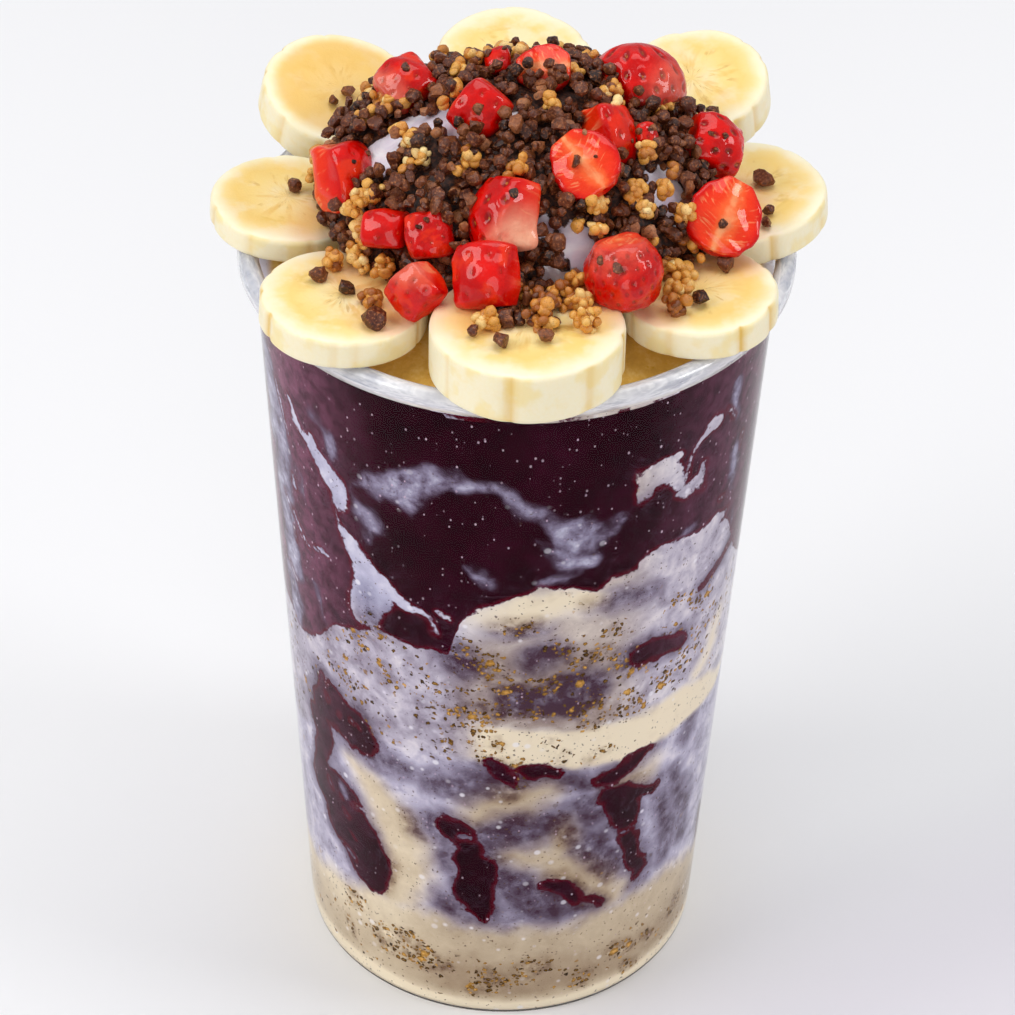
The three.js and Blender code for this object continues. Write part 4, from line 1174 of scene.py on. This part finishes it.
def berry_look():
    look, c = Look("strawberry"), colours()
    ripe, seed = look.attribute("ripe"), look.attribute("seed")
    own, seeded = look.attribute("berry", "Vector"), look.attribute("seeded")
    cloud, fine = look.noise(own, 0.22, 3), look.noise(own, 1.5, 4, 0.6)
    patch = look.noise(own, 0.13, 2, 0.5, 0.6)

    # Cut flesh, pale towards the heart, with veins that fan out to the skin.
    _, _, z = look.parts(own)
    fan = look.join((z - ripe * 5) * 0.55, ripe * 0.5, look.noise(own, 0.05, 1) * 9)
    veins = look.step(look.noise(fan, 1.5, 3, 0.5), 0.52, 0.66)
    veins = veins * look.step(ripe, 0.12, 0.3) * look.step(ripe, 0.93, 0.6)
    flesh = look.mix(veins * 0.45, look.ramp(ripe + (cloud - 0.5) * 0.3 + (patch - 0.5) * 0.5, [
        (0.02, hue(250, 160, 106)), (0.16, hue(246, 98, 44)), (0.36, hue(238, 58, 16)),
        (0.62, c.berry_flesh), (0.84, hue(222, 20, 4)), (0.98, hue(206, 4, 0))]),
        hue(252, 168, 112))

    # Skin, orange in places, with seeds in pits darkened by painted shade.
    skin = look.coats(
        c.berry_skin,
        (look.step(cloud, 0.35, 0.7), hue(226, 8, 0)),
        (look.step(patch, 0.5, 0.6) * (1.0 - seeded) * 0.8, hue(236, 52, 12)),
        (look.step(seed, 1.15, 0.7) * 0.75 * seeded, hue(128, 0, 0)),
        (look.step(seed, 0.44, 0.34) * 0.8 * seeded, look.ramp(fine, [
            (0.4, hue(130, 40, 10)), (0.6, hue(206, 120, 46))])))
    on_skin = look.step(ripe, 0.93, 0.965)
    # A pale patch towards one side of some pieces: painted glare.
    pale = look.attribute("pale") * (0.6 + (cloud - 0.5) * 1.6)
    shown = look.coats(flesh, (on_skin, skin), (pale.math("MAXIMUM", 0.0), hue(250, 184, 150)))
    height = fine * 0.35 + cloud * 1.1 + look.step(seed, 0.5, 0.2) * on_skin * 0.7
    return look.done(look.surface(
        Base_Color=shown, Roughness=0.3 + (1 - on_skin) * 0.08, Specular_IOR_Level=0.1,
        Coat_Weight=0.6, Coat_Roughness=0.03, Normal=look.bump(height, 0.5, 0.7)))


def berry_matrix(at, skin, tip, size, middle):
    """Turns a piece so that its skin and its tip face the given ways."""
    out = Vector(skin).normalized()
    up = -Vector(tip).normalized()
    up = (up - out * up.dot(out)).normalized()
    across = up.cross(out)
    turn = Matrix((out, across, up)).transposed().to_4x4()
    shift = Matrix.Translation(-Vector(middle) * MM)
    return Matrix.Translation(Vector(at) * MM) @ turn @ Matrix.Scale(size, 4) @ shift


class ACAI_OT_berries(bpy.types.Operator):
    """Cuts the strawberry pieces and sets them in the mound"""

    bl_idname = "acai.berries"
    bl_label = "Strawberries"

    def execute(self, context):
        material, berry = berry_look(), whole_berry()
        for number, (cut, size, at, skin, tip) in enumerate(BERRIES, 1):
            piece, middle = cut_berry(berry, f"berry_piece_{number}", cut, size)
            dress_berry(piece, number)
            piece.data.transform(berry_matrix(at, skin, tip, size, middle))
            # Painted glare towards one side, as strong as the table gives.
            way, amount = PAINTED_GLARE_SIDES.get(number, ((0, 0, 1), 0))
            out = (points_of(piece) - np.array(at)) @ np.array(Vector(way).normalized())
            store(piece, "pale", amount * eased(0.35, 0.95, out / out.max()))
            smooth(piece, 80)
            finish_piece(piece, material, "strawberry", f"strawberry_{number}")
        bpy.data.objects.remove(berry)
        return {"FINISHED"}


# ---- Chocolate bits and granola ----------------------------------------------------------------
# Where the cream shows bare between the toppings: x, y and radius.
BARE_CREAM = [(-24, -4.5, 4.6), (-19, -0.5, 3.4), (-13.5, -1, 3.4), (-10.5, -3.5, 2.4),
              (25, -9.5, 4), (10.5, -22.5, 2.9), (6.5, -26.5, 2.6), (4.5, -21, 1.6), (-1, -3, 2)]
SPILLED = 60  # bits that have rolled off the mound onto the front slice
BIT_KINDS, BEAD_KINDS = 10, 5
CLUSTER_PLACES = 270  # places all over the mound, of which two in CLUSTER_EVERY get a cluster
CLUSTER_EVERY = 9

# Granola clusters on the mound: middle (x, y, z), size and how pale.
CLUSTERS = [
    (-24, -13, 174, 1.0, 0.7), (-26, -12, 172, 1.0, 0.75), (-27, -14, 170, 1.1, 0.8),
    (-26, -16, 168, 0.9, 0.75), (-27, -17, 165, 0.8, 0.75), (-26, -19, 164, 0.8, 0.8),
    (-22, -21, 165, 1.0, 0.6), (-20, -4, 180, 0.6, 0.7), (-18, -7, 180, 0.8, 0.8),
    (-16, -11, 180, 0.6, 0.85), (-9, -13, 181, 1.1, 0.6), (-22, 4, 180, 0.7, 0.7),
    (-25, 4, 178, 0.7, 0.75), (-19, 4, 181, 0.6, 0.7), (-8, 13, 184, 0.7, 0.7),
    (-11, 2, 185, 0.7, 0.65), (-17, -19, 173, 0.6, 0.6), (4, -28, 165, 1.5, 0.4),
    (13, -19, 177, 1.0, 0.7), (19, -15, 177, 1.0, 0.6), (21, -17, 175, 0.8, 0.8),
    (28, -14, 172, 1.1, 0.65), (30, -15, 166, 1.2, 0.45), (26, -19, 165, 1.0, 0.7),
    (28, -19, 162, 1.1, 0.55), (13, -22, 174, 0.7, 0.75), (10, -27, 167, 1.0, 0.5),
    (12, -27, 163, 1.3, 0.45), (15, 4, 184, 0.9, 0.7), (16, -1, 184, 0.7, 0.75),
    (21, -8, 180, 0.9, 0.6), (24, -13, 176, 0.7, 0.55), (0, 13, 185, 0.8, 0.6),
    (2, -31, 163, 1.2, 0.35), (6, -30, 161, 1.1, 0.3), (9, -29, 163, 1.0, 0.4),
    (0, -16, 182, 0.9, 0.4), (5, -3, 186, 0.7, 0.6)]

# Bits and clusters that lie on the slices: x and y in the slice, and size.
BITS_ON_SLICES = {
    "banana_front": [(-8.9, -4.6, 0.9), (-4.3, -7.3, 1.1), (2.9, -5.8, 1)],
    "banana_front_right": [(4.6, 5.8, 1.2), (0.2, -5, 1.1)],
    "banana_right": [(4, 1, 1.2), (4.4, -7.8, 0.8), (4.1, -11.2, 0.7)],
    "banana_back_right": [(3.6, -10.3, 1)],
    "banana_back_left": [(1.4, -2.5, 0.9), (-1.2, -4.9, 0.7), (0.1, -11, 1.2)],
    "banana_left": [(1.2, 1.8, 1.1), (7.6, -7.6, 1.4)],
    "banana_front_left": [(-4.3, 3.8, 1.2), (0.4, 0.2, 1), (5.5, -8.5, 1.4)],
}
CLUSTERS_ON_SLICES = {
    "banana_front": [(-6.6, -1.8, 0.8), (2.5, 2.4, 1.1), (10, -0.9, 1.1), (2.2, -1.2, 1.1),
                     (5.5, 5.5, 1), (-1.5, 6, 1), (9, 4.5, 0.8)],
    "banana_front_right": [(-5.2, 3.6, 0.9), (-3.6, -1.9, 0.9), (-4.2, -7, 0.9)],
    "banana_front_left": [(-2.2, 8, 0.8), (4.8, -2.4, 0.7)],
}
# Bits that lie on berry pieces: the piece's number and the direction from its middle.
ON_BERRIES = {2: (0, -0.3, 1), 3: (0, -0.7, 0.7), 4: (0.3, -0.4, 0.9), 5: (-0.45, -0.7, 0.75),
              8: (0.3, -0.4, 0.9), 11: (0, -0.9, 0.4), 12: (-0.2, -0.7, 0.7)}


def berry_surface():
    """The surface of all berry pieces in millimetres, for finding what lies on or in them."""
    points, faces = [], []
    for piece in bpy.data.objects:
        if piece.name.startswith("berry_piece_"):
            start = len(points)
            points += [Vector(p) for p in points_of(piece)]
            faces += [[start + v for v in face.vertices] for face in piece.data.polygons]
    return BVHTree.FromPolygons(points, faces)


def inside(tree, point):
    """Whether a point lies inside the closed surface."""
    near, normal, _, _ = tree.find_nearest(point)
    return near is not None and (point - near).dot(normal) < 0


def any_way(rng):
    """A random direction, not of length 1."""
    return Vector([rng.gauss(0, 1) for _ in range(3)])


def lump(name, seed, cuts, knobs):
    """A small knobbly lump about one millimetre across, with some flat faces."""
    start_clean()
    bpy.ops.mesh.primitive_ico_sphere_add(subdivisions=2, radius=0.5 * MM)
    piece = named(name)
    rng = random.Random(seed)
    points = points_of(piece)
    stretch = [rng.uniform(0.74, 1.2) for _ in range(3)]
    points *= np.array(stretch)
    for _ in range(cuts):
        way = any_way(rng).normalized()
        level = rng.uniform(0.2, 0.38)
        over = np.maximum(points @ np.array(way) - level, 0)
        points -= over[:, None] * np.array(way) * 0.95
    shift = Vector((seed * 17.3, 0, seed * 5.1))
    for i, point in enumerate(points):
        points[i] *= 1 + knobs * noise.fractal(Vector(point * 4) + shift, 1.0, 2.0, 2)
    move_points(piece, points)
    store(piece, "tone", np.zeros(len(points)))
    return piece


def strewn(name, kinds, places):
    """Copies the kinds to all places, each with its own mesh and tone, and joins them."""
    start_clean()
    copies = []
    for kind, matrix, tone in places:
        mesh = kinds[kind % len(kinds)].data.copy()
        mesh.transform(matrix)
        mesh.attributes["tone"].data.foreach_set("value", [tone] * len(mesh.vertices))
        copies.append(added(name, mesh))
    bpy.context.view_layer.objects.active = copies[0]
    bpy.ops.object.join()
    for kind in kinds:
        bpy.data.objects.remove(kind)
    return copies[0]


def tumbled(at, size, rng):
    """A lump's matrix: turned any way, of a size and at a place in millimetres."""
    turn = Matrix.Rotation(rng.uniform(0, 6.28), 4, any_way(rng))
    return Matrix.Translation(Vector(at) * MM) @ turn @ Matrix.Scale(size, 4)


def dome_places(count):
    """Points spread evenly over the mound from the top down, with the outward direction."""
    lowest = (MOUND_EDGE_HEIGHT + 1 - MOUND_CENTRE.z) / MOUND_REACH.z
    for i in range(count):
        up = 1 - (1 - lowest) * (i + 0.5) / count
        out, turn = math.sqrt(1 - up * up), i * math.pi * (3 - math.sqrt(5))
        sphere = Vector((out * math.cos(turn), out * math.sin(turn), up))
        normal = Vector([s / r for s, r in zip(sphere, MOUND_REACH)]).normalized()
        yield Vector([s * r for s, r in zip(sphere, MOUND_REACH)]) + MOUND_CENTRE, normal


def on_slice(node, x, y, lift=0):
    """The place at x and y on a slice's upper face, or a lift above it."""
    middle, _, thickness, dip = SLICES[node]
    return slice_matrix(middle, thickness, dip) @ Vector((x, y, thickness / 2 + lift))


def slice_spots(table):
    """Places of a table's toppings on the slices, and their sizes."""
    for node, spots in table.items():
        for x, y, share in spots:
            yield on_slice(node, x, y), share


def chocolate_look():
    look, c = Look("chocolate"), colours()
    place, tone = look.place(), look.attribute("tone")
    fine, cloud = look.noise(place, 2.2, 4, 0.6), look.noise(place, 0.7, 2)
    brown = look.ramp(tone * 0.7 + cloud * 0.3, [
        (0.15, hue(40, 14, 6)), (0.4, c.chocolate), (0.62, hue(104, 54, 30)),
        (0.8, hue(152, 90, 52)), (0.95, hue(186, 132, 92))])
    brown = look.coats(brown, (look.step(fine, 0.52, 0.68) * 0.6, hue(190, 120, 70)),
                       (look.step(fine, 0.46, 0.34) * 0.6, hue(30, 8, 4)))
    return look.done(look.surface(Base_Color=brown, Roughness=0.26 + fine * 0.2,
                                  Normal=look.bump(fine, 0.2, 0.7), Specular_IOR_Level=0.4))


class ACAI_OT_chocolate_bits(bpy.types.Operator):
    """Strews the chocolate bits over the mound, slices and berries"""

    bl_idname = "acai.chocolate_bits"
    bl_label = "Chocolate bits"

    def execute(self, context):
        rng = random.Random(5)
        kinds = [lump(f"bit_{i}", 30 + i, 5, 0.2) for i in range(BIT_KINDS)]
        usual = sizes().bit / MM
        berries = berry_surface()
        places = []

        def drop(at, size):
            matrix = tumbled(at, size, rng)
            kind, tone = rng.randrange(BIT_KINDS), rng.gauss(0.44, 0.27)
            places.append((kind, matrix, min(1, max(0, tone))))

        def on_berry(number, way):
            """Where something that falls towards the middle of a piece meets a berry."""
            middle = Vector(BERRIES[number - 1][2])
            far = middle + Vector(way).normalized() * 40
            return berries.ray_cast(far, (middle - far).normalized())[0]

        for at, normal in dome_places(sizes().bits):
            at = at + Vector([rng.uniform(-1.1, 1.1) for _ in range(3)])
            if any(math.hypot(at.x - x, at.y - y) < r - 0.5 for x, y, r in BARE_CREAM):
                continue
            pile = (0,) if at.z < 169 else (0, 0, 1.2, 2.0) if at.y > 12 else (0, 0, 1.2, 2.0, 3.0)
            at = at + normal * (rng.uniform(-0.5, 0.7) + rng.choice(pile))
            if not inside(berries, at):
                drop(at, usual * rng.uniform(0.62, 1.15))
        for at, share in slice_spots(BITS_ON_SLICES):
            drop(at + Vector((0, 0, 0.4 * usual * share)), usual * share * 1.1)
        for i in range(SPILLED):
            x, y = rng.uniform(-8, 5.5), 10.5 - 12.5 * rng.random() ** 1.5
            lift = rng.uniform(0.6, 1) + max(0, 0.35 * (y - 3)) * (i % 2)
            drop(on_slice("banana_front", x, y, lift), usual * rng.uniform(0.7, 1.2))
        for number, way in ON_BERRIES.items():
            drop(on_berry(number, way), usual * 0.8)
        for number in range(1, len(BERRIES) + 1):
            for _ in range(rng.choice((0, 1, 3))):
                way = (rng.uniform(-1, 1), rng.uniform(-1, 0.6), rng.uniform(0.2, 1))
                hit = on_berry(number, way)
                if hit:
                    drop(hit, usual * rng.uniform(0.35, 0.6))
        bits = strewn("chocolate_bits", kinds, places)
        smooth(bits, 30)
        finish_piece(bits, chocolate_look(), "chocolate")
        return {"FINISHED"}


def granola_look():
    look, c = Look("granola"), colours()
    place, tone = look.place(), look.attribute("tone")
    fine, cloud = look.noise(place, 2.6, 4, 0.65), look.noise(place, 0.5, 2)
    toast = look.ramp(tone * 0.75 + cloud * 0.25, [
        (0.1, hue(96, 46, 14)), (0.3, hue(166, 92, 26)), (0.5, c.granola),
        (0.7, hue(232, 172, 78)), (0.9, hue(250, 222, 154))])
    toast = look.mix(look.step(fine, 0.46, 0.3) * 0.6, toast, hue(112, 56, 16))
    return look.done(look.surface(Base_Color=toast, Roughness=0.24 + fine * 0.2,
                                  Normal=look.bump(fine, 0.25, 0.6), Specular_IOR_Level=0.6))


class ACAI_OT_granola(bpy.types.Operator):
    """Sets clusters of granola beads among the toppings"""

    bl_idname = "acai.granola"
    bl_label = "Granola"

    def execute(self, context):
        rng = random.Random(9)
        kinds = [lump(f"bead_{i}", 60 + i, 1, 0.16) for i in range(BEAD_KINDS)]
        bead = sizes().bead / MM
        berries = berry_surface()
        places = []

        def cluster(at, size, count, light):
            for i in range(count):
                way = any_way(rng).normalized()
                spot = at + way * size * 0.5 * rng.uniform(0.25, 0.85)
                if not inside(berries, spot):
                    tone = min(1, max(0, rng.gauss(light, 0.18)))
                    places.append((i, tumbled(spot, bead * rng.uniform(0.75, 1.35), rng), tone))

        for i, (at, normal) in enumerate(dome_places(CLUSTER_PLACES)):
            if i % CLUSTER_EVERY == 4 and at.y > 6:
                cluster(at + normal * 1.6, 5.2, 16, 0.6)
            elif i % CLUSTER_EVERY == 7:
                cluster(at + normal * 2.2, 2.4, 3, 0.65)
        for x, y, z, share, light in CLUSTERS:
            out = (Vector((x, y, z)) - MOUND_CENTRE).normalized()
            cluster(Vector((x, y, z)) + out * 0.9, 5 * share, round(15 * share), light)
        for at, share in slice_spots(CLUSTERS_ON_SLICES):
            cluster(at + Vector((0, 0, 1.7 * share)), 5.6 * share, 22, rng.choice((0.3, 0.45, 0.7)))
        granola = strewn("granola_clusters", kinds, places)
        smooth(granola, 60)
        finish_piece(granola, granola_look(), "granola")
        return {"FINISHED"}


# ---- Stage -------------------------------------------------------------------------------------
CAMERA_DISTANCE = 0.808484
CAMERA_HEIGHT_ANGLE = 39.23
CAMERA_ROLL = 1.449
CAMERA_AIM = Vector((-0.000471, 0, 0.095019))
FOCAL_SHARE = 4400 / 1015  # focal length as a share of the frame's width
FLOOR_WIDTH = 6.0
LIGHTS_AIM = (0, 0, 0.1)


def soft_light(name, place, size, energy, tone):
    """A round area light that faces the cup."""
    light = bpy.data.lights.new(name, "AREA")
    light.shape, light.size, light.energy, light.color = "DISK", size, energy, tone
    lamp = bpy.data.objects.new(name, light)
    lamp.location = place
    lamp.rotation_euler = (Vector(LIGHTS_AIM) - Vector(place)).to_track_quat("-Z", "Y").to_euler()
    bpy.context.scene.collection.objects.link(lamp)


class ACAI_OT_stage(bpy.types.Operator):
    """Sets up the camera, the soft lights and the pale floor with painted shade"""

    bl_idname = "acai.stage"
    bl_label = "Stage"

    def execute(self, context):
        scene = context.scene
        data = bpy.data.cameras.new("camera")
        data.sensor_width = 36.0
        data.lens = FOCAL_SHARE * data.sensor_width
        data.clip_start, data.clip_end = 0.05, 20
        camera = bpy.data.objects.new("camera", data)
        down = math.radians(CAMERA_HEIGHT_ANGLE)
        back = Vector((0, -math.cos(down), math.sin(down)))
        right = Vector((1, 0, 0))
        up = back.cross(right)
        roll = math.radians(CAMERA_ROLL)
        right, up = (right * math.cos(roll) + up * math.sin(roll),
                     up * math.cos(roll) - right * math.sin(roll))
        turn = Matrix((right, up, back)).transposed().to_4x4()
        camera.matrix_world = Matrix.Translation(CAMERA_AIM + back * CAMERA_DISTANCE) @ turn
        scene.collection.objects.link(camera)
        scene.camera = camera
        scene.view_settings.view_transform = "Standard"
        scene.view_settings.look = "None"

        start_clean()
        bpy.ops.mesh.primitive_plane_add(size=FLOOR_WIDTH)
        floor = named("floor")
        bpy.ops.object.mode_set(mode="EDIT")
        bpy.ops.mesh.subdivide(number_cuts=4)
        bpy.ops.object.mode_set(mode="OBJECT")
        look = Look("pale_floor")
        x, y, _ = look.parts(look.place())
        # The floor is darker towards the front right: painted shade.
        far = look.step(x - y * 1.5, 30, 125)
        pale = look.mix(far * 0.8, colours().floor, hue(219, 215, 223))
        floor.data.materials.append(look.done(look.surface(
            Base_Color=pale, Roughness=0.75, Specular_IOR_Level=0.1)))
        floor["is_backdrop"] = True

        world = bpy.data.worlds.new("studio")
        world.use_nodes = True
        sky = world.node_tree.nodes["Background"]
        sky.inputs["Color"].default_value = (0.95, 0.97, 1.0, 1)
        sky.inputs["Strength"].default_value = 0.4
        scene.world = world
        soft_light("overhead", (0.1, 0.35, 1.4), 1.1, 7.6, (1.0, 0.99, 0.98))
        soft_light("left_box", (-0.95, -0.35, 1.05), 0.8, 8.0, (1.0, 0.985, 0.97))
        soft_light("right_box", (1.0, -0.2, 0.8), 0.4, 3.2, (0.99, 0.99, 1.0))
        soft_light("front_box", (0.1, -1.5, 0.55), 0.9, 4.7, (1.0, 0.99, 0.98))
        return {"FINISHED"}


class ACAI_PT_panel(bpy.types.Panel):
    """Lists the steps that make the cup"""

    bl_idname = "ACAI_PT_panel"
    bl_label = "Acai cup"
    bl_space_type = "VIEW_3D"
    bl_region_type = "UI"
    bl_category = "Acai cup"

    def draw(self, context):
        for operator in OPERATORS:
            self.layout.operator(operator.bl_idname)
        for group in (sizes(), colours()):
            box = self.layout.box()
            for name in group.bl_rna.properties.keys():
                if name not in ("rna_type", "name"):
                    box.prop(group, name)


OPERATORS = [ACAI_OT_stage, ACAI_OT_cup, ACAI_OT_filling, ACAI_OT_bananas, ACAI_OT_mound,
             ACAI_OT_berries, ACAI_OT_chocolate_bits, ACAI_OT_granola]
CLASSES = [AcaiCupColours, AcaiCupSizes, *OPERATORS, ACAI_PT_panel]


def register():
    for cls in CLASSES:
        bpy.utils.register_class(cls)
    bpy.types.Scene.acai_cup_colours = bpy.props.PointerProperty(type=AcaiCupColours)
    bpy.types.Scene.acai_cup_sizes = bpy.props.PointerProperty(type=AcaiCupSizes)


def unregister():
    del bpy.types.Scene.acai_cup_colours
    del bpy.types.Scene.acai_cup_sizes
    for cls in reversed(CLASSES):
        bpy.utils.unregister_class(cls)


def main():
    register()
    for operator in OPERATORS:
        group, name = operator.bl_idname.split(".")
        getattr(getattr(bpy.ops, group), name)()
    start_clean()
    boxes = {"cad": CAD_BOX, "visual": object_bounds()}
    {key: [list(corner) for corner in box] for key, box in boxes.items()}


if __name__ == "__main__":
    main()
